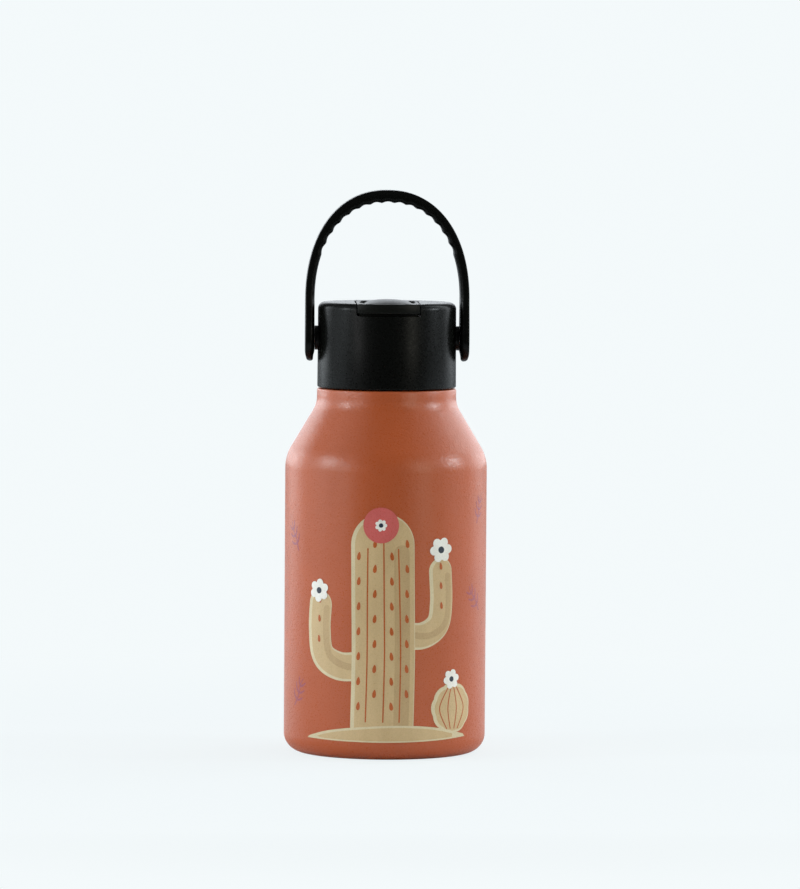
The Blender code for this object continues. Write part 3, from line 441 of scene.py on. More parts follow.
def soft_silicone(name, color, roughness=0.42, transmission=0.25):
    """Milky silicone that lets some light through."""
    finish = Finish(name)
    cloud = finish.spread(finish.noise(160, 2.0), 0.0, 1.0)
    finish.use("Base Color", finish.two_tones(cloud, shade(color, 0.95), shade(color, 1.03)))
    finish.use("Roughness", finish.spread(finish.noise(900, 2.0), roughness - 0.05,
                                          roughness + 0.05))
    finish.use("Normal", finish.bump(finish.noise(1800, 2.0), 0.12, 0.00005))
    finish.shader.inputs["Transmission Weight"].default_value = transmission
    finish.shader.inputs["IOR"].default_value = 1.41
    return finish.material


def cell_foam(name, color):
    """Closed-cell foam."""
    finish = Finish(name, roughness=0.9)
    cells = finish.cells(1400)
    finish.use("Base Color", finish.two_tones(finish.spread(cells, 0.0, 1.0, 0.1, 0.6),
                                              shade(color, 0.8), color))
    finish.use("Normal", finish.bump(cells, 0.4, 0.0002))
    return finish.material


def sintered_metal(name, color):
    """Dull grainy metal."""
    finish = Finish(name, roughness=0.6, metallic=1.0)
    grains = finish.noise(2400, 3.0, 0.7)
    finish.use("Base Color", finish.two_tones(finish.spread(grains, 0.0, 1.0), shade(color, 0.7),
                                              shade(color, 1.3)))
    finish.use("Normal", finish.bump(grains, 0.5, 0.0001))
    return finish.material


# ---------------------------------------------------------------- the bottle
def bottle_curve(sizes, inset, base_z, fillet, counts):
    """Side of the bottle from its base to its collar, set in from the outer face."""
    wall = BODY_RADIUS - inset
    points = arc(wall - fillet, base_z + fillet, fillet, -math.pi / 2, 0.0, counts[0])
    bulge = sizes.shoulder_fillet
    angle = sizes.shoulder_angle
    points += arc(BODY_RADIUS - bulge, sizes.wall_top, bulge - inset, 0.0, angle, counts[1])
    join_r = BODY_RADIUS - bulge * (1 - math.cos(angle))
    join_z = sizes.wall_top + bulge * math.sin(angle)
    throat_r = sizes.collar_radius + sizes.collar_fillet * (1 - math.cos(angle))
    throat_z = join_z + (join_r - throat_r) / math.tan(angle)
    center_z = throat_z + sizes.collar_fillet * math.sin(angle)
    points += arc(sizes.collar_radius + sizes.collar_fillet, center_z,
                  sizes.collar_fillet + inset, math.pi + angle, math.pi, counts[2])
    return points


def thread_height(height, angle, span, phase):
    """Height of a right-hand thread's ridge, faded out at the span's ends."""
    low, high = span
    along = (height - THREAD_PITCH * angle / FULL_TURN - phase) % THREAD_PITCH
    distance = min(along, THREAD_PITCH - along)
    ridge = 1.0 - smooth_step(distance, THREAD_CREST, THREAD_ROOT)
    window = smooth_step(height, low, low + 0.001) * (1 - smooth_step(height, high - 0.001, high))
    return THREAD_DEPTH * ridge * window


def thread_rows(radius, span):
    """Rows of (radius, height) that carry a thread."""
    count = round((span[1] - span[0]) / THREAD_ROW)
    return [(radius, span[0] + (span[1] - span[0]) * step / count) for step in range(count + 1)]


def build_shell(sizes, material):
    """Coated outer shell with its threaded neck."""
    neck = sizes.neck_radius
    bore = neck - NECK_WALL
    wall = SHELL_WALL
    top = sizes.collar_top
    ledge = top - 0.0010
    profile = [(BASE_OPENING, 0.0), (FOOT_RADIUS, 0.0)]
    profile += bottle_curve(sizes, 0.0, 0.0, sizes.base_fillet, (20, 18, 12))
    profile += arc(sizes.collar_radius - 0.0005, top - 0.0005, 0.0005, 0.0, math.pi / 2, 5)
    profile += [(neck + 0.0006, top), (neck, top + 0.0006)]
    profile += thread_rows(neck, NECK_THREAD)
    profile += [(neck, NECK_TOP - 0.0003), (neck - 0.0003, NECK_TOP), (bore, NECK_TOP),
                (bore, ledge), (sizes.collar_radius - wall, ledge)]
    profile += reversed(bottle_curve(sizes, wall, wall, sizes.base_fillet - wall, (8, 8, 5)))
    profile += [(BASE_OPENING, wall), (BASE_OPENING - 0.0004, wall / 2)]

    def thread_rule(radius, height, angle):
        if radius != neck:
            return radius
        return radius + thread_height(height, angle, NECK_THREAD, 0.0)

    shape = turned(profile, BODY_SEGMENTS, thread_rule)
    item = make_mesh_object("shell", *shape)
    return finish_piece(item, "bottle", "outer_shell", material)


def build_flask(sizes, material):
    """Inner flask with its rolled lip."""
    inset, thick, fillet = FLASK_INSET, FLASK_WALL, FLASK_FILLET
    mouth = sizes.neck_radius - NECK_WALL - GAP - thick
    throat = sizes.collar_top - 0.0047
    outside = bottle_curve(sizes, inset, FLASK_BASE, fillet, (10, 10, 6))
    inside = bottle_curve(sizes, inset + thick, FLASK_BASE + thick, fillet - thick, (10, 10, 6))
    outer, inner = sizes.collar_radius - inset, sizes.collar_radius - inset - thick
    lip = NECK_TOP + GAP
    lip_reach = sizes.neck_radius - 0.0001
    rim = [(outer, throat), (mouth + thick, throat + (outer - mouth - thick) / 2),
           (mouth + thick, lip), (lip_reach, lip), (lip_reach, LIP_TOP),
           (mouth, LIP_TOP), (mouth, throat - thick / 2 + (inner - mouth) / 2),
           (inner, throat - thick / 2)]
    profile = [(0.0, FLASK_BASE)] + outside + softened([(0.0, throat)] + rim + [(0.0, throat)],
                                                       0.00038, 4)[1:-1]
    profile += list(reversed(inside)) + [(0.0, FLASK_BASE + thick)]
    item = make_mesh_object("flask", *turned(profile, 96))
    return finish_piece(item, "bottle", "inner_flask", material)


def build_turned(name, body, node, profile, material, segments=SMALL_SEGMENTS,
                 soften=0.0001, matrix=None, radius_rule=None, height_rule=None):
    """One turned piece with softened corners."""
    if soften:
        profile = softened(profile, soften)
    shape = turned(profile, segments, radius_rule, height_rule)
    if matrix is not None:
        shape = moved(shape, matrix)
    return finish_piece(make_mesh_object(name, *shape), body, node, material)


def build_base(steel, grey):
    """Base plate, its cover disc, the sealing bead and the getter."""
    low, high = BOX["base_plate"]
    reach = high.x
    plate = [(0.0, low.z + 0.0014), (0.0044, low.z + 0.0014), (0.0052, low.z), (reach, low.z),
             (reach, low.z + 0.0008), (0.0060, low.z + 0.0008), (0.0052, high.z), (0.0, high.z)]
    build_turned("plate", "bottle", "base_plate", plate, steel, 96)
    low, high = BOX["base_cover"]
    reach = high.x
    disc = [(0.0, low.z), (reach - 0.0020, low.z), (reach - 0.0014, low.z + 0.0001),
            (reach, low.z + 0.0001), (reach, high.z), (0.0, high.z)]
    build_turned("base_disc", "bottle", "base_cover", disc, steel, 96, 0.00015)
    low, high = BOX["seal_bead"]
    bead = [(0.0, low.z), (high.x, low.z), (high.x, high.z - GAP), (high.x - GAP, high.z),
            (0.0, high.z)]
    build_turned("bead", "bottle", "seal_bead", bead, grey)
    low, high = BOX["getter"]
    middle = (low + high) / 2
    size = (high.x - low.x) / 2
    pill = [(0.0, low.z), (size, low.z), (size, high.z), (0.0, high.z)]
    place = Matrix.Translation((middle.x, middle.y, 0.0))
    build_turned("getter_pill", "bottle", "getter", pill, grey, matrix=place,
                 soften=0.0004)


# ---------------------------------------------------------------- the lid
def circle_strip(half_width, radius, rear_y, steps):
    """Strip along Y whose front edge follows a circle about the Z axis."""
    edge = math.asin(half_width / radius)
    outline = []
    for step in range(steps):
        angle = -edge + 2 * edge * step / (steps - 1)
        outline.append((radius * math.sin(angle), -radius * math.cos(angle)))
    return outline + [(half_width, rear_y), (-half_width, rear_y)]


def slot_outline(half_width, front_y, steps):
    """Slot along Y with a square front end and a round end about the Z axis."""
    outline = [(-half_width, front_y), (half_width, front_y)]
    for step in range(steps):
        angle = math.pi * step / (steps - 1)
        outline.append((half_width * math.cos(angle), half_width * math.sin(angle)))
    return outline


def recess_outline(half_width, rear_y, corner, steps=5):
    """Recess open to the front, with rounded rear corners."""
    outline = [(-half_width, -0.05), (half_width, -0.05)]
    for sign, start in ((1, 0.0), (-1, math.pi / 2)):
        for step in range(steps):
            angle = start + math.pi / 2 * step / (steps - 1)
            outline.append((sign * (half_width - corner) + corner * math.cos(angle),
                            rear_y - corner + corner * math.sin(angle)))
    return outline


def cut(item, shape, operation="DIFFERENCE"):
    """Apply one exact Boolean to a piece and drop its tool."""
    tool = make_mesh_object("tool", *shape)
    modifier = item.modifiers.new("cut", "BOOLEAN")
    modifier.operation = operation
    modifier.solver = "EXACT"
    modifier.object = tool
    graph = bpy.context.evaluated_depsgraph_get()
    mesh = bpy.data.meshes.new_from_object(item.evaluated_get(graph))
    item.modifiers.clear()
    old = item.data
    item.data = mesh
    bpy.data.meshes.remove(old)
    bpy.data.objects.remove(tool, do_unlink=True)


def rod(radius, low, high, segments=SMALL_SEGMENTS):
    """Plain round rod along Z."""
    return turned([(0.0, low), (radius, low), (radius, high), (0.0, high)], segments)


def lid_cup(sizes):
    """Plain cup of the lid before its recess is cut."""
    radius, fillet = sizes.lid_radius, sizes.lid_fillet
    bore = radius - LID_WALL
    roof = LID_TOP - LID_ROOF
    profile = [(0.0, LID_TOP), (radius - fillet - 0.004, LID_TOP)]
    profile += arc(radius - fillet, LID_TOP - fillet, fillet, math.pi / 2, 0.0, 12)
    profile += [(radius + 0.00003, LID_BOTTOM + 0.0150)]
    profile += arc(radius + 0.0001 - 0.0006, LID_BOTTOM + 0.0006, 0.0006, 0.0, -math.pi / 2, 5)
    profile += [(bore + 0.0004, LID_BOTTOM), (bore, LID_BOTTOM + 0.0004),
                (bore, roof), (0.0, roof)]
    return turned(profile, LID_SEGMENTS)


def build_lid_shell(sizes, material):
    """Outer shell of the lid with the cover's recess and the spout's channel."""
    item = make_mesh_object("lid_outer", *lid_cup(sizes))
    seat = sizes.lid_radius - 0.0008
    floor, channel_floor = RECESS_FLOOR, CHANNEL_FLOOR
    half = sizes.cover_half + 0.0004
    rear = HINGE_Y + 0.0032
    upper = circle_strip(half + LID_WALL, seat, rear + LID_WALL, 17)
    cut(item, stacked([(upper, floor - LID_WALL), (upper, LID_TOP - 0.0010)]), "UNION")
    trough_half = 0.0067
    lower = circle_strip(trough_half, seat, 0.0, 9)[:-2] + slot_outline(trough_half, 0.0, 21)[2:]
    cut(item, stacked([(lower, channel_floor - 0.0015), (lower, floor - 0.0008)]), "UNION")
    flare = 0.00025
    mouth = LID_TOP - flare
    corner = 0.0012
    pocket = recess_outline(half, rear, corner)
    flared = recess_outline(half + flare, rear + flare, corner)
    cut(item, stacked([(pocket, floor), (pocket, mouth), (flared, LID_TOP),
                       (flared, LID_TOP + 0.002)]))
    edge = 0.0003
    channel_half, channel_front = 0.0052, -0.0212
    narrow = slot_outline(channel_half, channel_front, 25)
    wide = slot_outline(channel_half + edge, channel_front - edge, 25)
    channel = [(narrow, channel_floor), (narrow, floor - edge), (wide, floor),
               (wide, floor + 0.001)]
    cut(item, stacked(channel))
    cut(item, rod(0.0046, channel_floor - 0.0030, floor))
    valve = (BOX["vent_valve"][0] + BOX["vent_valve"][1]) / 2
    cut(item, moved(rod(0.0013, channel_floor, LID_TOP - 0.002),
                    Matrix.Translation((valve.x, valve.y, 0.0))))
    pin = BOX["cover_pin"][1].x + GAP
    cut(item, moved(rod(HINGE_BORE, -pin, pin), across((0.0, HINGE_Y, HINGE_Z))))
    for side in (-1, 1):
        for radius, inner in ((0.0033, sizes.lid_radius - 0.0032), (0.0047, SPOT_FACE - GAP)):
            hole = rod(radius, inner, sizes.lid_radius + 0.0016)
            cut(item, moved(hole, across((0.0, 0.0, PIVOT_Z), side)))
    item.data.shade_smooth()
    item.data.set_sharp_from_angle(angle=math.radians(28))
    return finish_piece(item, "lid", "lid_shell", material)


def build_lid_inside(sizes, black, rubber, foam, silicone):
    """Liner, gasket, foam, valve and the bushes of the handle."""
    radius = sizes.lid_radius - LID_WALL - GAP
    bore = radius - 0.0021
    low = BOX["lid_liner"][0].z
    deck = DECK_TOP - 0.0018

    def thread_rule(reach, height, angle):
        if reach != bore:
            return reach
        return reach - thread_height(height, angle, LID_THREAD, THREAD_PITCH / 2)

    liner = [(0.0046, DECK_TOP), (radius - 0.0005, DECK_TOP), (radius, DECK_TOP - 0.0005),
             (radius, low), (bore + 0.0005, low), (bore, low + 0.0005)]
    liner += thread_rows(bore, LID_THREAD) + [(bore, deck), (0.0046, deck)]
    build_turned("liner", "lid", "lid_liner", liner, black, 96, 0,
                 radius_rule=thread_rule)
    low, high = BOX["lid_gasket"]
    inner = 0.0172
    ring = [(inner, low.z), (high.x, low.z), (high.x, high.z), (inner, high.z)]
    build_turned("gasket", "lid_seal", "lid_gasket", ring, rubber, 96, 0.0004)
    for side_name, side in (("left", -1), ("right", 1)):
        low, high = BOX["lid_foam_" + side_name]
        near = min(abs(low.x), abs(high.x))
        reach = max(abs(low.x), abs(high.x))
        edge = math.acos(near / reach)
        outline = [(side * reach * math.cos(edge * (step / 12 - 1)),
                    reach * math.sin(edge * (step / 12 - 1))) for step in range(25)]
        item = make_mesh_object("foam_" + side_name, *stacked([(outline, low.z), (outline, high.z)]))
        finish_piece(item, "lid", "lid_foam_" + side_name, foam)
    low, high = BOX["vent_valve"]
    middle = (low + high) / 2
    floor = RECESS_FLOOR
    flap = floor - LID_WALL - GAP
    valve = [(0.0, high.z), (0.0012, high.z - 0.0001), (0.0019, floor + GAP + 0.0002),
             (0.0019, floor + GAP), (0.0010, floor + GAP), (0.0010, flap), (0.0022, flap),
             (0.0022, flap - GAP), (0.0010, low.z), (0.0, low.z)]
    build_turned("valve", "lid", "vent_valve", valve, silicone, soften=0.00008,
                 matrix=Matrix.Translation((middle.x, middle.y, 0.0)))
    for side_name, side in (("left", -1), ("right", 1)):
        low, high = BOX["pivot_bush_" + side_name]
        inner = min(abs(low.x), abs(high.x))
        outer = HANDLE_SPAN - sizes.handle_thickness - GAP / 2
        bush = [(PIN_BORE, inner), (0.0030, inner), (0.0030, SPOT_FACE), (0.0044, SPOT_FACE),
                (0.0044, outer), (PIN_BORE, outer)]
        build_turned("bush_" + side_name, "lid", "pivot_bush_" + side_name, bush, black,
                     matrix=across((0.0, 0.0, PIVOT_Z), side))


# ---------------------------------------------------------------- the flip cover
def vault_rise(x, y, half_width, rise, front, rear):
    """Height of the low vault, an arch across and a flatter one along."""
    across_share = 1.0 - (x / half_width) ** 2
    along_share = 1.0 - ((2 * y - front - rear) / (rear - front)) ** 2
    if across_share <= 0.0 or along_share <= 0.0:
        return 0.0
    return rise * across_share ** 0.6 * along_share ** 0.8


RIB_PLACE = (0.0083, -0.0060)
RIB_HALF = (0.0019, 0.0035)
RIB_RISE = 0.0007


def rib_rise(x, y):
    """Height of the two short grip ribs beside the vault."""
    away = math.hypot((abs(x) - RIB_PLACE[0]) / RIB_HALF[0], (y - RIB_PLACE[1]) / RIB_HALF[1])
    return RIB_RISE * (1 - smooth_step(away, 0.80, 1.0))


def edge_drop(distance, radius):
    """How far a rounded edge lies below the flat at a distance from the border."""
    if distance >= radius:
        return 0.0
    return radius - math.sqrt(max(radius ** 2 - (radius - distance) ** 2, 0.0))


def cover_grid(sizes):
    """Top and underside of the cover as two grids of points."""
    half, front_radius = sizes.cover_half, sizes.cover_front
    border = [0.0, 0.00006, 0.00015, 0.0003, 0.0006, 0.0010, 0.0012]
    right = list(np.linspace(0.0, half - 0.0016, 40)) + [half - step for step in border[::-1]]
    columns = [-x for x in reversed(right[1:])] + right
    length_along = front_radius + HINGE_Y
    lip_end, skirt_start, skirt_end = 0.0004, 0.0019, 0.0026
    marks = [0.0, 0.00006, 0.00015, 0.0003, lip_end, 0.0010, 0.0018, 0.0020, skirt_end, 0.0028]
    marks += list(np.linspace(0.0034, length_along, 70))
    top_points, low_points = [], []
    under = LID_TOP - 0.0019
    lip_low = LID_TOP - sizes.cover_lip
    skirt_low = RECESS_FLOOR + GAP / 3
    side_skirt, hinge_clear = 0.0011, 0.006
    vault_front, vault_rear = 0.0011 - front_radius, HINGE_Y - 0.0035
    for mark in marks:
        share = mark / length_along
        for x in columns:
            front = -math.sqrt(front_radius ** 2 - x ** 2)
            y = front + share * (HINGE_Y - front)
            side = half - abs(x)
            top = LID_TOP - max(edge_drop(mark, 0.0003), edge_drop(side, 0.0003))
            top += max(vault_rise(x, y, sizes.vault_half, sizes.vault_rise, vault_front,
                                  vault_rear), rib_rise(x, y))
            hollow = vault_rise(x, y, sizes.vault_half - 0.0016, sizes.vault_rise + 0.0003,
                                vault_front + 0.0016, vault_rear - 0.0016)
            low = under + hollow
            if mark <= lip_end:
                low = lip_low + max(edge_drop(mark, 0.0002), edge_drop(side, 0.0003))
            elif mark <= skirt_end:
                low = skirt_low if mark > skirt_start and side > 0.0005 else lip_low
            elif side <= side_skirt and mark < length_along - hinge_clear:
                low = lip_low
            top_points.append((x, y, top))
            low_points.append((x, y, low))
    return top_points, low_points, len(columns), len(marks)


def grid_solid(top_points, low_points, columns, rows):
    """Closed solid between two grids of points."""
    offset = len(top_points)
    faces = []
    for row in range(rows - 1):
        faces += ring_faces(row * columns, (row + 1) * columns, columns, closed=False)
        start = offset + row * columns
        faces += ring_faces(start, start + columns, columns, closed=False)
    border = list(range(columns))
    border += [row * columns + columns - 1 for row in range(1, rows)]
    border += [(rows - 1) * columns + column for column in range(columns - 2, -1, -1)]
    border += [row * columns for row in range(rows - 2, 0, -1)]
    for step, index in enumerate(border):
        after = border[(step + 1) % len(border)]
        faces.append((index, after, offset + after, offset + index))
    return top_points + low_points, faces


def build_cover(sizes, black, steel):
    """Flip cover with its vault, and the pin that it turns on."""
    item = make_mesh_object("flip_lid", *grid_solid(*cover_grid(sizes)))
    barrel = rod(0.0020, -sizes.cover_half, sizes.cover_half, 48)
    cut(item, moved(barrel, across((0.0, HINGE_Y, HINGE_Z))), "UNION")
    bore = rod(HINGE_BORE, -0.02, 0.02, 32)
    cut(item, moved(bore, across((0.0, HINGE_Y, HINGE_Z))))
    item.data.shade_smooth()
    item.data.set_sharp_from_angle(angle=math.radians(40))
    finish_piece(item, "cover", "flip_cover", black)
    reach = BOX["cover_pin"][1].x
    pin = [(0.0, -reach), (0.0009, -reach), (0.0009, reach), (0.0, reach)]
    build_turned("hinge_pin", "lid", "cover_pin", pin, steel, 32, 0.0002,
                 across((0.0, HINGE_Y, HINGE_Z)))


# ---------------------------------------------------------------- the spout
def tube_along(path, radius, bore, segments):
    """Tube along a path in the plane x = 0."""
    frames = []
    for index, point in enumerate(path):
        heading = Vector(path[min(index + 1, len(path) - 1)]) - Vector(path[max(index - 1, 0)])
        frames.append((Vector(point), heading.normalized().cross(Vector((1.0, 0.0, 0.0)))))
    verts, faces = [], []
    for reach, order in ((radius, frames), (bore, frames[::-1])):
        for center, up in order:
            for step in range(segments):
                angle = FULL_TURN * step / segments
                side = Vector((1.0, 0.0, 0.0)) * math.cos(angle) + up * math.sin(angle)
                verts.append(tuple(center + side * reach))
    count = 2 * len(frames)
    for ring in range(count):
        faces += ring_faces(ring * segments, ((ring + 1) % count) * segments, segments)
    return verts, faces


def build_spout(silicone, clear):
    """Grommet, soft neck, mouthpiece, adapter and straw."""
    low, high = BOX["spout_base"]
    foot_top = low.z + 0.0012
    floor = CHANNEL_FLOOR + GAP
    base = [(0.0022, low.z), (0.0062, low.z), (0.0062, foot_top), (0.0043, foot_top),
            (0.0043, floor), (0.0049, floor), (0.0049, high.z), (0.0022, high.z)]
    build_turned("spout_grommet", "lid", "spout_base", base, silicone, 48, 0.0002)

    bend = 0.0031
    start = high.z + GAP
    path = [(0.0, 0.0, start)]
    for step in range(17):
        angle = math.pi / 2 * step / 16
        path.append((0.0, -bend * (1 - math.cos(angle)), SPOUT_Z - bend + bend * math.sin(angle)))
    nozzle_start = -BOX["spout_nozzle"][1].y
    path += [(0.0, -(nozzle_start - GAP) - GAP * 0.5, SPOUT_Z)]
    neck = make_mesh_object("spout_bend", *tube_along(path, 0.0027, 0.0016, 32))
    neck.data.materials.append(silicone)
    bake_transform(neck)
    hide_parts("spout_neck")

    tip = -BOX["spout_nozzle"][0].y
    nozzle = [(0.0017, nozzle_start), (0.0037, nozzle_start), (0.0040, nozzle_start + 0.0004),
              (0.0040, nozzle_start + 0.0028), (0.0036, nozzle_start + 0.0037),
              (0.0033, nozzle_start + 0.0046), (0.0033, tip - 0.0048), (0.0036, tip - 0.0040),
              (0.0039, tip - 0.0032), (0.0039, tip - 0.0014)]
    nozzle += arc(0.0025, tip - 0.0014, 0.0014, 0.1, math.pi / 2, 6)
    nozzle += [(0.0019, tip), (0.0017, tip - 0.0003)]
    matrix = Matrix.Translation((0.0, 0.0, SPOUT_Z)) @ Matrix.Rotation(math.pi / 2, 4, "X")
    build_turned("mouthpiece", "spout", "spout_nozzle", nozzle, silicone, 48,
                 0.0003, matrix)

    low, high = BOX["straw_adapter"]
    straw_top = BOX["straw"][1].z
    flange = straw_top + GAP
    adapter = [(0.0012, low.z), (0.0022, low.z), (0.0022, flange), (0.0045, flange),
               (0.0045, flange + 0.0011), (0.0019, flange + 0.0011), (0.0019, high.z),
               (0.0012, high.z)]
    build_turned("adapter", "lid", "straw_adapter", adapter, clear, 40, 0.0002)
    low = BOX["straw"][0].z
    straw = [(0.0025, low), (0.0032, low), (0.0032, straw_top), (0.0025, straw_top)]

    def slant(height, x):
        return height if height > 0.05 else height + 0.5 * (x + 0.0032)

    build_turned("drinking_straw", "lid", "straw", straw, clear, 40, 0.0001,
                 height_rule=slant)


# ---------------------------------------------------------------- the handle
ARCH_SQUARENESS = 2.2
ARCH_SAMPLES = 1200
SCALLOP_SHARPNESS = 1.4


def arch_stations(sizes, spacing):
    """Points and outward normals at even distances along the arch, right foot to left foot."""
    power = 2.0 / ARCH_SQUARENESS
    dense = []
    for step in range(ARCH_SAMPLES + 1):
        angle = math.pi * step / ARCH_SAMPLES
        x = HANDLE_SPAN * math.copysign(abs(math.cos(angle)) ** power, math.cos(angle))
        z = ARCH_FOOT + (HANDLE_TOP - ARCH_FOOT) * max(math.sin(angle), 0.0) ** power
        dense.append((x, z))
    points = np.array(dense)
    lengths = np.concatenate([[0.0], np.cumsum(np.linalg.norm(np.diff(points, axis=0), axis=1))])
    count = 2 * round(lengths[-1] / (2 * spacing))
    marks = np.linspace(0.0, lengths[-1], count + 1)
    xs = np.interp(marks, lengths, points[:, 0])
    zs = np.interp(marks, lengths, points[:, 1])
    tangents = np.stack([np.gradient(xs), np.gradient(zs)], axis=1)
    tangents /= np.linalg.norm(tangents, axis=1)[:, None]
    crown = lengths[-1] / 2
    stations = []
    for x, z, tangent, mark in zip(xs, zs, tangents, marks):
        rise = max((z - ARCH_FOOT) / (HANDLE_TOP - ARCH_FOOT), 0.0)
        thick = sizes.handle_thickness
        thick += (sizes.crown_thickness - sizes.handle_thickness) * rise ** 2
        if abs(mark - crown) < sizes.scallop_count * sizes.scallop_pitch / 2:
            wave = abs(math.cos(math.pi * (mark - crown) / sizes.scallop_pitch))
            thick -= sizes.scallop_depth * wave ** SCALLOP_SHARPNESS
        stations.append(((x, z), (tangent[1], -tangent[0]), thick))
    return stations


def ear_taper(sizes, z):
    """How far the ear's outer face is set in, and its thickness, at one height."""
    rise = z - (PIVOT_Z - sizes.ear_radius)
    bend = max(1.0 - rise / 0.0037, 0.0)
    thick = sizes.handle_thickness - (sizes.handle_thickness - 0.0021) * bend
    tip = max(1.0 - rise / 0.0009, 0.0)
    rounded = thick * math.sqrt(1.0 - tip ** 2)
    return 0.0008 * bend ** 2 + (thick - rounded) / 2, rounded


def leg_stations(sizes):
    """Stations of the right leg, from the ear's tip up to the arch."""
    low = PIVOT_Z - sizes.ear_radius
    turns = [math.pi / 2 * step / 24 for step in range(1, 25)]
    heights = [low + sizes.ear_radius * (1 - math.cos(turn)) for turn in turns]
    heights += list(np.linspace(PIVOT_Z, ARCH_FOOT, 14)[1:-1])
    stations = []
    for z in heights:
        inset, thick = ear_taper(sizes, z)
        stations.append(((HANDLE_SPAN - inset, z), (1.0, 0.0), thick))
    return stations


def strap_half(sizes, z):
    """Half the strap's width, from the round ear to the even strap."""
    if z < PIVOT_Z:
        return math.sqrt(max(sizes.ear_radius ** 2 - (z - PIVOT_Z) ** 2, 0.0))
    share = smooth_step(z, PIVOT_Z + sizes.ear_radius / 4, ARCH_FOOT + sizes.ear_radius / 4)
    return sizes.ear_radius + (sizes.handle_half_width - sizes.ear_radius) * share


def strap_section(sizes, point, normal, thickness):
    """Rounded section of the strap at one station."""
    half = strap_half(sizes, point[1])
    outer_round = min(0.0004, half * 0.45, thickness * 0.4)
    inner_round = min(0.0016, half * 0.45, thickness * 0.5)
    corners = []
    for width_sign, depth_center, corner, start in (
            (1, outer_round, outer_round, math.pi / 2),
            (1, thickness - inner_round, inner_round, 0.0),
            (-1, thickness - inner_round, inner_round, -math.pi / 2),
            (-1, outer_round, outer_round, -math.pi)):
        for step in range(5):
            angle = start - math.pi / 2 * step / 4
            width = width_sign * (half - corner) + corner * math.cos(angle)
            depth = depth_center - corner * math.sin(angle)
            corners.append((point[0] - normal[0] * depth, width, point[1] - normal[1] * depth))
    return corners


def build_handle(sizes, black, steel):
    """Bail handle with its finger scallops, and its two pins."""
    right = leg_stations(sizes)
    stations = right + arch_stations(sizes, sizes.scallop_pitch / 14)
    stations += [((-x, z), (-nx, nz), thick) for (x, z), (nx, nz), thick in reversed(right)]
    verts = []
    for point, normal, thickness in stations:
        verts += strap_section(sizes, point, normal, thickness)
    corners = len(verts) // len(stations)
    faces = [tuple(range(corners)), tuple(range(len(verts) - corners, len(verts)))]
    for index in range(len(stations) - 1):
        faces += ring_faces(index * corners, (index + 1) * corners, corners)
    item = make_mesh_object("bail", verts, faces, 50)
    for side_name, side in (("left", -1), ("right", 1)):
        low, high = BOX["handle_pin_" + side_name]
        inner, outer = sorted((abs(low.x), abs(high.x)))
        hole = rod(PIN_BORE, inner, outer + GAP, 32)
        cut(item, moved(hole, across((0.0, 0.0, PIVOT_Z), side)))
    item.data.shade_smooth()
    item.data.set_sharp_from_angle(angle=math.radians(50))
    finish_piece(item, "bail", "handle", black)
    for side_name, side in (("left", -1), ("right", 1)):
        low, high = BOX["handle_pin_" + side_name]
        inner, outer = sorted((abs(low.x), abs(high.x)))
        pin = [(0.0, inner), (0.0020, inner), (0.0020, outer), (0.0, outer)]
        build_turned("pin_" + side_name, "bail", "handle_pin_" + side_name, pin, steel,
                     32, 0.0003, across((0.0, 0.0, PIVOT_Z), side))


# ---------------------------------------------------------------- the print
# Print shapes are drawn in millimetres: across is the way round the body from its front,
# and up is the height above the table.
INK_THICKNESS = 0.000008
LAYER_STEP = 0.000018
ARM_LAYER, TRUNK_LAYER, GROUND_LAYER = 1, 4, 7
FINE_LIFT = 7 * LAYER_STEP
FLOWER_LIFT = 9 * LAYER_STEP
INK_GRID = 1.2
RIM_SHIFT, RIM_WIDTH = 0.6, 1.7
RIB_WIDTH = 0.42


def round_end(tip, from_point, half, steps):
    """Points round the end of a stroke, from its left side to its right."""
    heading = (tip - from_point).normalized()
    base = math.atan2(heading.y, heading.x) + math.pi / 2
    return [tip + Vector((math.cos(base - math.pi * step / steps),
                          math.sin(base - math.pi * step / steps))) * half
            for step in range(1, steps)]


def stroke(path, width, taper=0.0, flat_foot=False):
    """Outline of a stroke along a path, round at both ends or flat at its foot."""
    points = [Vector(point) for point in path]
    count = len(points)
    left, right = [], []
    for index, point in enumerate(points):
        heading = (points[min(index + 1, count - 1)] - points[max(index - 1, 0)]).normalized()
        side = Vector((-heading.y, heading.x))
        half = width / 2 * (1 - taper * index / (count - 1))
        left.append(point + side * half)
        right.append(point - side * half)
    steps = 8 + round(width)
    outline = left + round_end(points[-1], points[-2], width / 2 * (1 - taper), steps) + right[::-1]
    if not flat_foot:
        outline += round_end(points[0], points[1], width / 2, steps)
    return [(point.x, point.y) for point in outline]


def curve_points(control, steps=14):
    """Smooth points through control points."""
    points = []
    count = len(control)
    for index in range(count - 1):
        before = Vector(control[max(index - 1, 0)])
        start, end = Vector(control[index]), Vector(control[index + 1])
        after = Vector(control[min(index + 2, count - 1)])
        for step in range(steps):
            t = step / steps
            points.append(0.5 * (2 * start + (end - before) * t
                                 + (2 * before - 5 * start + 4 * end - after) * t * t
                                 + (3 * start - before - 3 * end + after) * t ** 3))
    points.append(Vector(control[-1]))
    return [(point.x, point.y) for point in points]


def disc(center, radius, steps=40):
    """Round outline."""
    return [(center[0] + radius * math.cos(FULL_TURN * step / steps),
             center[1] + radius * math.sin(FULL_TURN * step / steps)) for step in range(steps)]


def petals(center, radius, count, depth, turn=0.0, steps=80):
    """Outline of a flower with rounded petals."""
    outline = []
    for step in range(steps):
        angle = FULL_TURN * step / steps
        reach = radius * (1 - depth + depth * abs(math.cos(count * (angle - turn) / 2)) ** 0.7)
        outline.append((center[0] + reach * math.cos(angle), center[1] + reach * math.sin(angle)))
    return outline


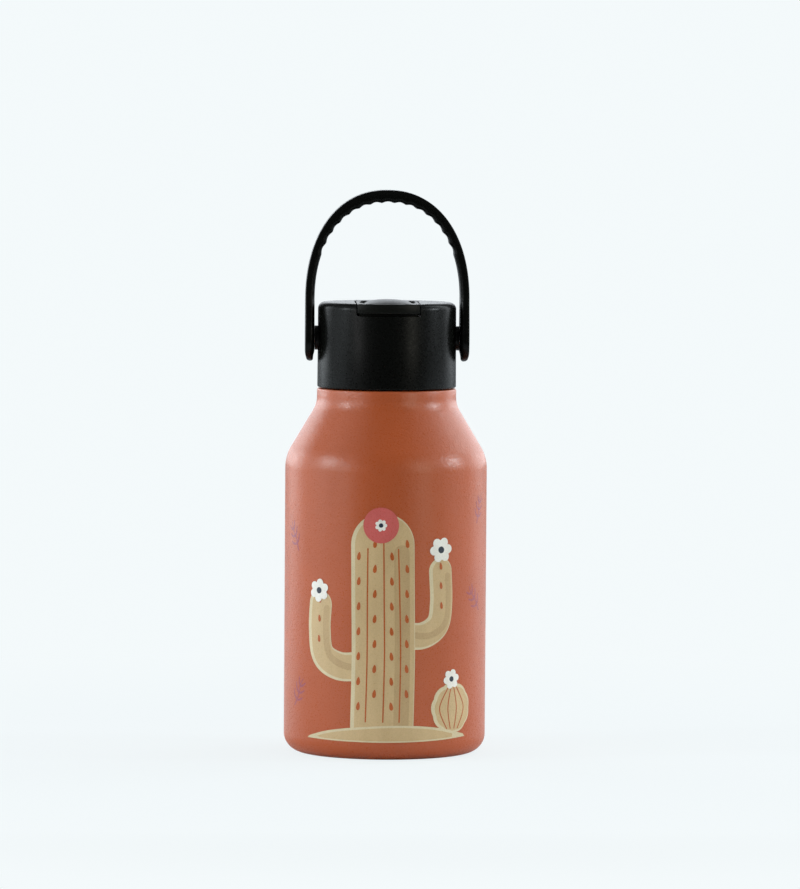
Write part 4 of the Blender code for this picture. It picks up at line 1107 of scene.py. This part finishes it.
def drop(center, size, turn):
    """Outline of a teardrop whose point is at the turned top."""
    outline = []
    for step in range(20):
        angle = FULL_TURN * step / 20
        along = math.cos(angle)
        width = math.sin(angle) * (1 - 0.45 * (1 + along) / 2) * 0.56
        x, y = width * size, along * size
        outline.append((center[0] + x * math.cos(turn) - y * math.sin(turn),
                        center[1] + x * math.sin(turn) + y * math.cos(turn)))
    return outline


def inked_shape(outline, lift, spacing=INK_GRID):
    """Thin closed solid of ink over the round body for one outline."""
    flat = [Vector(point) for point in outline]
    count = len(flat)
    xs, ys = [point.x for point in flat], [point.y for point in flat]
    points = list(flat)
    x = min(xs) + spacing / 2
    while x < max(xs):
        y = min(ys) + spacing / 2
        while y < max(ys):
            if inside(x, y, outline) and clear_of(x, y, outline, spacing * 0.35):
                points.append(Vector((x, y)))
            y += spacing
        x += spacing
    edges = [(index, (index + 1) % count) for index in range(count)]
    spots, _, triangles, *_ = delaunay_2d_cdt(points, edges, [], 1, 1e-5)
    top_radius = BODY_RADIUS + lift + INK_THICKNESS
    verts = []
    for radius in (top_radius, top_radius - INK_THICKNESS):
        for spot in spots:
            angle = spot.x * 0.001 / BODY_RADIUS
            verts.append((radius * math.sin(angle), -radius * math.cos(angle), spot.y * 0.001))
    offset = len(spots)
    faces = [tuple(face) for face in triangles]
    faces += [tuple(offset + index for index in reversed(face)) for face in triangles]
    sides = {}
    for face in triangles:
        for index, start in enumerate(face):
            end = face[(index + 1) % len(face)]
            sides[(start, end)] = sides.get((start, end), 0) + 1
    for start, end in sides:
        if (end, start) not in sides:
            faces.append((end, start, offset + start, offset + end))
    return verts, faces


def inside(x, y, outline):
    """Whether a point lies inside an outline."""
    found = False
    last_x, last_y = outline[-1]
    for next_x, next_y in outline:
        if (next_y > y) != (last_y > y):
            if x < (last_x - next_x) * (y - next_y) / (last_y - next_y) + next_x:
                found = not found
        last_x, last_y = next_x, next_y
    return found


def clear_of(x, y, outline, distance):
    """Whether a point keeps a distance from an outline's corners."""
    return all((x - px) ** 2 + (y - py) ** 2 > distance ** 2 for px, py in outline)


def ink_layer(name, shapes, material):
    """One object of all the shapes printed in one ink. Each shape has its own lift."""
    verts, faces = [], []
    for outline, lift in shapes:
        spots, triangles = inked_shape(outline, lift)
        offset = len(verts)
        verts += spots
        faces += [tuple(index + offset for index in face) for face in triangles]
    item = make_mesh_object(name, verts, faces, 40)
    return finish_piece(item, "bottle", None, material)


def plant_limb(layers, path, width, layer):
    """One limb of the cactus: its light rim, its tan face and its shaded side."""
    flat_foot = layer == TRUNK_LAYER
    face = [(x + RIM_SHIFT, z) for x, z in path]
    shaded = [(x + width * 0.30, z) for x, z in path[:-3]]
    strokes = (("cream", path, width), ("tan", face, width - RIM_WIDTH),
               ("umber", shaded, width * 0.24))
    for order, (ink, line, reach) in enumerate(strokes):
        layers[ink].append((stroke(line, reach, flat_foot=flat_foot), LAYER_STEP * (layer + order)))


def cactus_shapes(layers, base_x, base_z, scale):
    """Tall cactus with two arms, its ribs and its drops."""
    def at(points):
        return [(base_x + x * scale, base_z + z * scale) for x, z in points]

    trunk = at(curve_points([(0, 6.5), (0.4, 30), (0.2, 50), (0, 66.5)]))
    left_arm = at(curve_points([(-6, 28), (-14, 27.5), (-20.5, 31), (-22, 39), (-21.6, 47)]))
    right_arm = at(curve_points([(6, 38), (13, 37.5), (18.6, 41), (20, 48), (19.6, 58)]))
    plant_limb(layers, left_arm, 9.2 * scale, ARM_LAYER)
    plant_limb(layers, right_arm, 8.6 * scale, ARM_LAYER)
    plant_limb(layers, trunk, 20.5 * scale, TRUNK_LAYER)
    for offset in (-5.2, 0.4, 5.6):
        rib = at([(x + offset * (1 - 0.10 * (z / 66) ** 3), z) for x, z in
                  curve_points([(0, 10), (0.4, 30), (0.2, 50), (0, 68 - abs(offset) * 0.5)])])
        layers["rust"].append((stroke(rib, RIB_WIDTH * scale), FINE_LIFT))
    for column, offset in enumerate((-7.6, -2.4, 3.0, 7.9)):
        for z in range(15, 70, 8):
            spot = at([(offset, z + (4.0 if column % 2 else 0.0))])[0]
            layers["rust"].append((drop(spot, 1.35 * scale, 0.25 * (offset > 0) - 0.12), FINE_LIFT))
    for x, z in ((-21.9, 36), (-21.8, 42.5), (-21.6, 48.6), (19.9, 47), (19.7, 53.4), (19.6, 59.6)):
        layers["rust"].append((drop(at([(x, z)])[0], 1.15 * scale, 0.1), FINE_LIFT))


def barrel_shapes(layers, center, radius):
    """Round cactus with a light rim, ribs and a blossom."""
    cx, cz = center
    rim = petals((cx, cz), radius, 9, 0.05, 0.3)
    face = petals((cx + 0.5, cz - 0.2), radius - 1.0, 9, 0.05, 0.3)
    layers["cream"].append((rim, LAYER_STEP * TRUNK_LAYER))
    layers["tan"].append((face, LAYER_STEP * (TRUNK_LAYER + 1)))
    for bend in (-0.62, -0.22, 0.22, 0.62):
        rib = curve_points([(cx + radius * bend * 0.35, cz + radius * 0.80),
                            (cx + radius * bend, cz),
                            (cx + radius * bend * 0.45, cz - radius * 0.80)])
        layers["rust"].append((stroke(rib, RIB_WIDTH), FINE_LIFT))
    blossom(layers, (cx - 0.5, cz + radius + 1.2), 3.6, 0.2)


def blossom(layers, center, radius, turn):
    """White blossom with a dark eye."""
    layers["white"].append((petals(center, radius, 6, 0.30, turn), FLOWER_LIFT))
    layers["navy"].append((disc(center, radius * 0.27, 18), FLOWER_LIFT + LAYER_STEP))


# Each sprig: its centre, its size and its turn.
SPRIG_PLACES = (
    ((-41, 79), 1.05, 0.5), ((-38, 23), 1.05, -0.5), ((38, 57), 1.05, 0.7), ((41, 89), 0.95, -0.3),
    ((66, 30), 1.0, 0.2), ((-68, 52), 1.0, -0.2), ((72, 74), 1.0, -0.6), ((-92, 84), 1.0, 0.5),
    ((98, 44), 1.0, 0.4), ((-98, 26), 1.0, -0.4), ((114, 84), 0.9, 0.0),
)


def sprig_shapes(layers, center, size, turn):
    """Sprig with pairs of leaves."""
    cx, cz = center
    cos, sin = math.cos(turn), math.sin(turn)

    def at(points):
        return [(cx + (x * cos - z * sin) * size, cz + (x * sin + z * cos) * size)
                for x, z in points]

    stem = at(curve_points([(0, -5), (0.5, -1), (-0.2, 3), (0.3, 5.6)]))
    layers["plum"].append((stroke(stem, 0.65 * size, 0.5), LAYER_STEP))
    for z, reach in ((-2.6, 3.0), (0.2, 2.7), (2.8, 2.0)):
        for side in (-1, 1):
            tip = (side * reach, z + 2.2)
            leaf = at(curve_points([(0.2, z), (side * reach * 0.55, z + 0.6), tip], 6))
            layers["plum"].append((stroke(leaf, 0.95 * size, 0.5), LAYER_STEP * 1.5))


def ground_shapes(layers):
    """Low mound that the plants stand on."""
    crest = curve_points([(-31, 8.2), (-22, 10.6), (-10, 12.2), (4, 12.9), (18, 11.9), (31, 9.0)])
    foot = curve_points([(32, 8.0), (18, 7.2), (0, 6.8), (-18, 7.0), (-32, 7.4)])
    layers["cream"].append((crest + foot, LAYER_STEP * GROUND_LAYER))
    inner = [(x * 0.97, z - 0.8) for x, z in crest[6:-6]]
    below = [(x * 0.94, z + 0.5) for x, z in foot[6:-6]]
    layers["tan"].append((inner + below, LAYER_STEP * (GROUND_LAYER + 1)))


def build_print(colors):
    """Desert print in the bottle's ink colours."""
    names = ("tan", "umber", "cream", "white", "coral", "rust", "navy", "plum")
    layers = {name: [] for name in names}
    cactus_shapes(layers, -2.0, 3.0, 1.12)
    barrel_shapes(layers, (25.5, 18.6), 9.2)
    ground_shapes(layers)
    flower = (-2.6, 84.6)
    layers["coral"].append((disc(flower, 6.4, 48), FLOWER_LIFT - LAYER_STEP))
    layers["white"].append((petals(flower, 2.2, 7, 0.3), FLOWER_LIFT))
    layers["navy"].append((disc(flower, 0.8, 16), FLOWER_LIFT + LAYER_STEP))
    blossom(layers, (-26.6, 60.6), 4.2, 0.4)
    blossom(layers, (20.0, 75.6), 4.6, 0.1)
    for center, size, turn in SPRIG_PLACES:
        sprig_shapes(layers, center, size, turn)
    for name, shapes in layers.items():
        ink_layer("print_" + name, shapes, print_ink(name, getattr(colors, name)))


# ---------------------------------------------------------------- the stage
COOL, WARM, NEUTRAL = (0.88, 0.96, 1.0), (1.0, 0.98, 0.84), (1.0, 1.0, 1.0)
BACKDROP = (0.903, 0.951, 0.964, 1.0)
FILL = (0.90, 0.95, 1.0, 1.0)
FLOOR_HALF = 12.0
# Where the pale sweep ends in front, and how far from the bottle its shadow fades.
SWEEP_FRONT = (-0.34, -0.24)
SHADOW_REACH = (0.12, 0.38)
LIGHT_AIM = (0.0, 0.0, 0.11)
CAMERA_PLACE = (-0.060, -2.20, 0.242)
CAMERA_AIM = (0.0050, 0.0, 0.1114)
CAMERA_LENS = 246.5
CAMERA_ROLL = 0.40

# Each softbox: name, azimuth from the front and elevation in degrees, distance, width, height,
# radiance and tint.
SOFTBOXES = (
    ("left_strip", -74, 18, 1.10, 0.20, 0.32, 20.0, COOL),
    ("left_high", -84, 40, 1.10, 0.60, 0.55, 0.9, COOL),
    ("left_low", -84, 8, 1.00, 0.60, 0.50, 1.3, COOL),
    ("left_rear", -128, 10, 1.10, 0.50, 0.60, 2.6, COOL),
    ("left_front_high", -50, 42, 1.10, 0.35, 0.50, 0.9, NEUTRAL),
    ("left_front_low", -50, 10, 1.10, 0.30, 0.50, 4.0, NEUTRAL),
    ("right_front_low", 41, 12, 1.10, 0.28, 0.60, 3.7, WARM),
    ("right_front_high", 58, 40, 1.10, 0.40, 0.50, 0.7, NEUTRAL),
    ("right_strip", 85, 18, 1.10, 0.20, 0.32, 26.0, COOL),
    ("right_high", 88, 40, 1.10, 0.40, 0.55, 0.6, COOL),
    ("right_rear", 118, 40, 1.10, 0.40, 0.55, 3.6, COOL),
    ("right_rear_low", 128, 10, 1.10, 0.50, 0.60, 1.4, COOL),
    ("overhead", 0, 90, 1.10, 0.80, 0.60, 1.4, NEUTRAL),
)


def make_light(name, place, aim, size, power, tint):
    """Rectangular soft light that points at a place."""
    data = bpy.data.lights.new(name, "AREA")
    data.shape = "RECTANGLE"
    data.size, data.size_y = size
    data.energy = power
    data.color = tint
    item = bpy.data.objects.new(name, data)
    bpy.context.scene.collection.objects.link(item)
    item.location = place
    item.rotation_euler = (Vector(aim) - Vector(place)).to_track_quat("-Z", "Y").to_euler()
    return item


def smooth_ramp(tree, source, span, levels):
    """Smooth ramp from one level to another over a span of a value."""
    ramp = tree.nodes.new("ShaderNodeMapRange")
    ramp.interpolation_type = "SMOOTHSTEP"
    ramp.inputs["From Min"].default_value, ramp.inputs["From Max"].default_value = span
    ramp.inputs["To Min"].default_value, ramp.inputs["To Max"].default_value = levels
    tree.links.new(source, ramp.inputs["Value"])
    return ramp.outputs["Result"]


def math_node(tree, operation, *sources):
    """Result of one Math node."""
    node = tree.nodes.new("ShaderNodeMath")
    node.operation = operation
    for slot, source in enumerate(sources):
        tree.links.new(source, node.inputs[slot])
    return node.outputs[0]


def shader_mix(tree, share, first, second):
    """Mix of two shaders."""
    node = tree.nodes.new("ShaderNodeMixShader")
    for slot, source in enumerate((share, first, second)):
        tree.links.new(source, node.inputs[slot])
    return node.outputs[0]


def build_world():
    """World that shows the pale backdrop and lights the bottle from a low band behind it."""
    world = bpy.data.worlds.new("studio")
    bpy.context.scene.world = world
    world.use_nodes = True
    tree = world.node_tree
    nodes, links = tree.nodes, tree.links
    nodes.clear()
    path = nodes.new("ShaderNodeLightPath")
    place = nodes.new("ShaderNodeTexCoord")
    heading = nodes.new("ShaderNodeSeparateXYZ")
    links.new(place.outputs["Generated"], heading.inputs["Vector"])
    sideways = math_node(tree, "ABSOLUTE", heading.outputs["X"])
    behind = smooth_ramp(tree, heading.outputs["Y"], (0.15, 0.75), (0.1, 1.0))
    level = smooth_ramp(tree, sideways, (0.20, 0.52), (2.0, 3.1))
    low = smooth_ramp(tree, heading.outputs["Z"], (0.15, 0.50), (1.0, 0.25))
    strength = math_node(tree, "MULTIPLY", math_node(tree, "MULTIPLY", behind, level), low)
    shown = nodes.new("ShaderNodeBackground")
    shown.inputs["Color"].default_value = BACKDROP
    fill = nodes.new("ShaderNodeBackground")
    fill.inputs["Color"].default_value = FILL
    links.new(strength, fill.inputs["Strength"])
    seen = math_node(tree, "MAXIMUM", path.outputs["Is Camera Ray"],
                     path.outputs["Is Transmission Ray"])
    output = nodes.new("ShaderNodeOutputWorld")
    links.new(shader_mix(tree, seen, fill.outputs[0], shown.outputs[0]), output.inputs["Surface"])


def floor_material():
    """Pale sweep that keeps the bottle's shadow, fades into the backdrop and ends in front."""
    finish = Finish("studio_floor", roughness=0.9)
    tree, links = finish.tree, finish.tree.links
    finish.shader.inputs["Specular IOR Level"].default_value = 0.0
    split = tree.nodes.new("ShaderNodeSeparateXYZ")
    links.new(finish.place, split.inputs["Vector"])
    pale = finish.two_tones(finish.noise(2, 2.0), (0.80, 0.83, 0.85), (0.82, 0.85, 0.87))
    grey = finish.two_tones(finish.noise(3, 2.0), (0.02, 0.02, 0.02), (0.03, 0.03, 0.03))
    ground = tree.nodes.new("ShaderNodeMix")
    ground.data_type = "RGBA"
    links.new(finish.spread(split.outputs["Y"], 0.0, 1.0, *SWEEP_FRONT), ground.inputs["Factor"])
    links.new(grey, ground.inputs["A"])
    links.new(pale, ground.inputs["B"])
    finish.use("Base Color", ground.outputs["Result"])
    lit = tree.nodes.new("ShaderNodeEmission")
    lit.inputs["Color"].default_value = BACKDROP
    distance = tree.nodes.new("ShaderNodeVectorMath")
    distance.operation = "LENGTH"
    links.new(finish.place, distance.inputs[0])
    fade = smooth_ramp(tree, distance.outputs["Value"], SHADOW_REACH, (0.86, 1.0))
    path = tree.nodes.new("ShaderNodeLightPath")
    share = math_node(tree, "MULTIPLY", fade, path.outputs["Is Camera Ray"])
    links.new(shader_mix(tree, share, finish.shader.outputs[0], lit.outputs[0]),
              tree.nodes["Material Output"].inputs["Surface"])
    return finish.material


def build_floor():
    """Large plain floor under the bottle."""
    corners = [(side * FLOOR_HALF, depth * FLOOR_HALF, 0.0)
               for side, depth in ((-1, -1), (1, -1), (1, 1), (-1, 1))]
    floor = make_mesh_object("studio_floor", corners, [(0, 1, 2, 3)])
    floor.data.materials.append(floor_material())


def build_lights():
    """Softboxes round the bottle, all aimed at its middle."""
    aim = Vector(LIGHT_AIM)
    for name, azimuth, elevation, distance, width, height, radiance, tint in SOFTBOXES:
        turn, tilt = math.radians(azimuth), math.radians(elevation)
        heading = Vector((math.cos(tilt) * math.sin(turn), -math.cos(tilt) * math.cos(turn),
                          math.sin(tilt)))
        make_light(name, aim + heading * distance, aim, (width, height),
                   radiance * math.pi * width * height, tint)


def build_camera():
    """Long lens a little above the middle of the bottle."""
    data = bpy.data.cameras.new("product_camera")
    data.sensor_width = 36.0
    data.lens = CAMERA_LENS
    data.clip_end = 50.0
    camera = bpy.data.objects.new("product_camera", data)
    bpy.context.scene.collection.objects.link(camera)
    camera.location = CAMERA_PLACE
    heading = Vector(CAMERA_AIM) - Vector(CAMERA_PLACE)
    camera.rotation_euler = heading.to_track_quat("-Z", "Y").to_euler()
    camera.rotation_euler.rotate_axis("Z", math.radians(CAMERA_ROLL))
    bpy.context.scene.camera = camera


def build_stage():
    """Floor, world, lights and camera."""
    build_world()
    build_floor()
    build_lights()
    build_camera()
    bpy.context.scene.view_settings.view_transform = "Standard"


# ---------------------------------------------------------------- operators
def shared_finish(name):
    """A finish that several pieces share, made when it is first asked for."""
    found = bpy.data.materials.get(name)
    if found:
        return found
    colors = bpy.context.scene.bottle_colors
    makers = {
        "satin_coat": lambda: powder_coat(colors.coat),
        "lid_plastic": lambda: textured_plastic("lid_plastic", colors.black, 0.30, 2400, 0.20),
        "cover_plastic": lambda: textured_plastic("cover_plastic", shade(colors.black, 2.4), 0.33,
                                                  3000, 0.15),
        "handle_plastic": lambda: textured_plastic("handle_plastic", colors.black, 0.32, 3000, 0.09),
        "liner_resin": lambda: textured_plastic("liner_resin", shade(colors.black, 2.5), 0.36,
                                                  1500, 0.12),
        "brushed_steel": lambda: brushed_steel("brushed_steel", colors.steel),
        "milky_silicone": lambda: soft_silicone("milky_silicone", colors.silicone),
        "grey_rubber": lambda: soft_silicone("grey_rubber", (0.10, 0.105, 0.11), 0.6, 0.0),
        "clear_straw": lambda: soft_silicone("clear_straw", colors.silicone, 0.25, 0.6),
        "cell_foam": lambda: cell_foam("cell_foam", (0.80, 0.79, 0.75)),
        "sintered_metal": lambda: sintered_metal("sintered_metal", (0.28, 0.28, 0.29)),
    }
    return makers[name]()


class BOTTLE_OT_shell(bpy.types.Operator):
    """Build the coated shell, the flask inside it and the base"""

    bl_idname = "bottle.build_shell"
    bl_label = "Shell, Flask and Base"

    def execute(self, context):
        sizes = context.scene.bottle_sizes
        build_shell(sizes, shared_finish("satin_coat"))
        build_flask(sizes, shared_finish("brushed_steel"))
        build_base(shared_finish("brushed_steel"), shared_finish("sintered_metal"))
        return {"FINISHED"}


class BOTTLE_OT_print(bpy.types.Operator):
    """Print the ink layers round the shell"""

    bl_idname = "bottle.build_print"
    bl_label = "Print"

    def execute(self, context):
        build_print(context.scene.bottle_colors)
        return {"FINISHED"}


class BOTTLE_OT_lid(bpy.types.Operator):
    """Build the lid and what it holds"""

    bl_idname = "bottle.build_lid"
    bl_label = "Lid"

    def execute(self, context):
        sizes = context.scene.bottle_sizes
        build_lid_shell(sizes, shared_finish("lid_plastic"))
        build_lid_inside(sizes, shared_finish("liner_resin"), shared_finish("grey_rubber"),
                         shared_finish("cell_foam"), shared_finish("milky_silicone"))
        return {"FINISHED"}


class BOTTLE_OT_cover(bpy.types.Operator):
    """Build the flip cover and its hinge pin"""

    bl_idname = "bottle.build_cover"
    bl_label = "Flip Cover"

    def execute(self, context):
        build_cover(context.scene.bottle_sizes, shared_finish("cover_plastic"),
                    shared_finish("brushed_steel"))
        return {"FINISHED"}


class BOTTLE_OT_spout(bpy.types.Operator):
    """Build the soft spout and the straw"""

    bl_idname = "bottle.build_spout"
    bl_label = "Spout and Straw"

    def execute(self, context):
        build_spout(shared_finish("milky_silicone"), shared_finish("clear_straw"))
        return {"FINISHED"}


class BOTTLE_OT_handle(bpy.types.Operator):
    """Build the bail handle and its pins"""

    bl_idname = "bottle.build_handle"
    bl_label = "Handle"

    def execute(self, context):
        build_handle(context.scene.bottle_sizes, shared_finish("handle_plastic"),
                     shared_finish("brushed_steel"))
        return {"FINISHED"}


class BOTTLE_OT_stage(bpy.types.Operator):
    """Build the floor, the lights and the camera"""

    bl_idname = "bottle.build_stage"
    bl_label = "Stage"

    def execute(self, context):
        build_stage()
        return {"FINISHED"}


class BOTTLE_PT_build(bpy.types.Panel):
    """Lists the bottle's build steps"""

    bl_idname = "BOTTLE_PT_build"
    bl_label = "Water Bottle"
    bl_space_type = "VIEW_3D"
    bl_region_type = "UI"
    bl_category = "Bottle"

    def draw(self, context):
        layout = self.layout
        for group in (context.scene.bottle_sizes, context.scene.bottle_colors):
            column = layout.column(align=True)
            for name in group.__annotations__:
                column.prop(group, name)
        for operator in OPERATORS:
            layout.operator(operator.bl_idname)


OPERATORS = (BOTTLE_OT_shell, BOTTLE_OT_print, BOTTLE_OT_lid, BOTTLE_OT_cover, BOTTLE_OT_spout,
             BOTTLE_OT_handle, BOTTLE_OT_stage)
CLASSES = (BottleSizes, BottleColors) + OPERATORS + (BOTTLE_PT_build,)


def register():
    """Register the classes and hang the settings on the scene."""
    for cls in CLASSES:
        bpy.utils.register_class(cls)
    bpy.types.Scene.bottle_sizes = PointerProperty(type=BottleSizes)
    bpy.types.Scene.bottle_colors = PointerProperty(type=BottleColors)


def unregister():
    """Take the settings and the classes away."""
    del bpy.types.Scene.bottle_colors
    del bpy.types.Scene.bottle_sizes
    for cls in reversed(CLASSES):
        bpy.utils.unregister_class(cls)


def main():
    """Build everything in order."""
    register()
    bpy.ops.bottle.build_shell()
    bpy.ops.bottle.build_print()
    bpy.ops.bottle.build_lid()
    bpy.ops.bottle.build_cover()
    bpy.ops.bottle.build_spout()
    bpy.ops.bottle.build_handle()
    bpy.ops.bottle.build_stage()


if __name__ == "__main__":
    main()
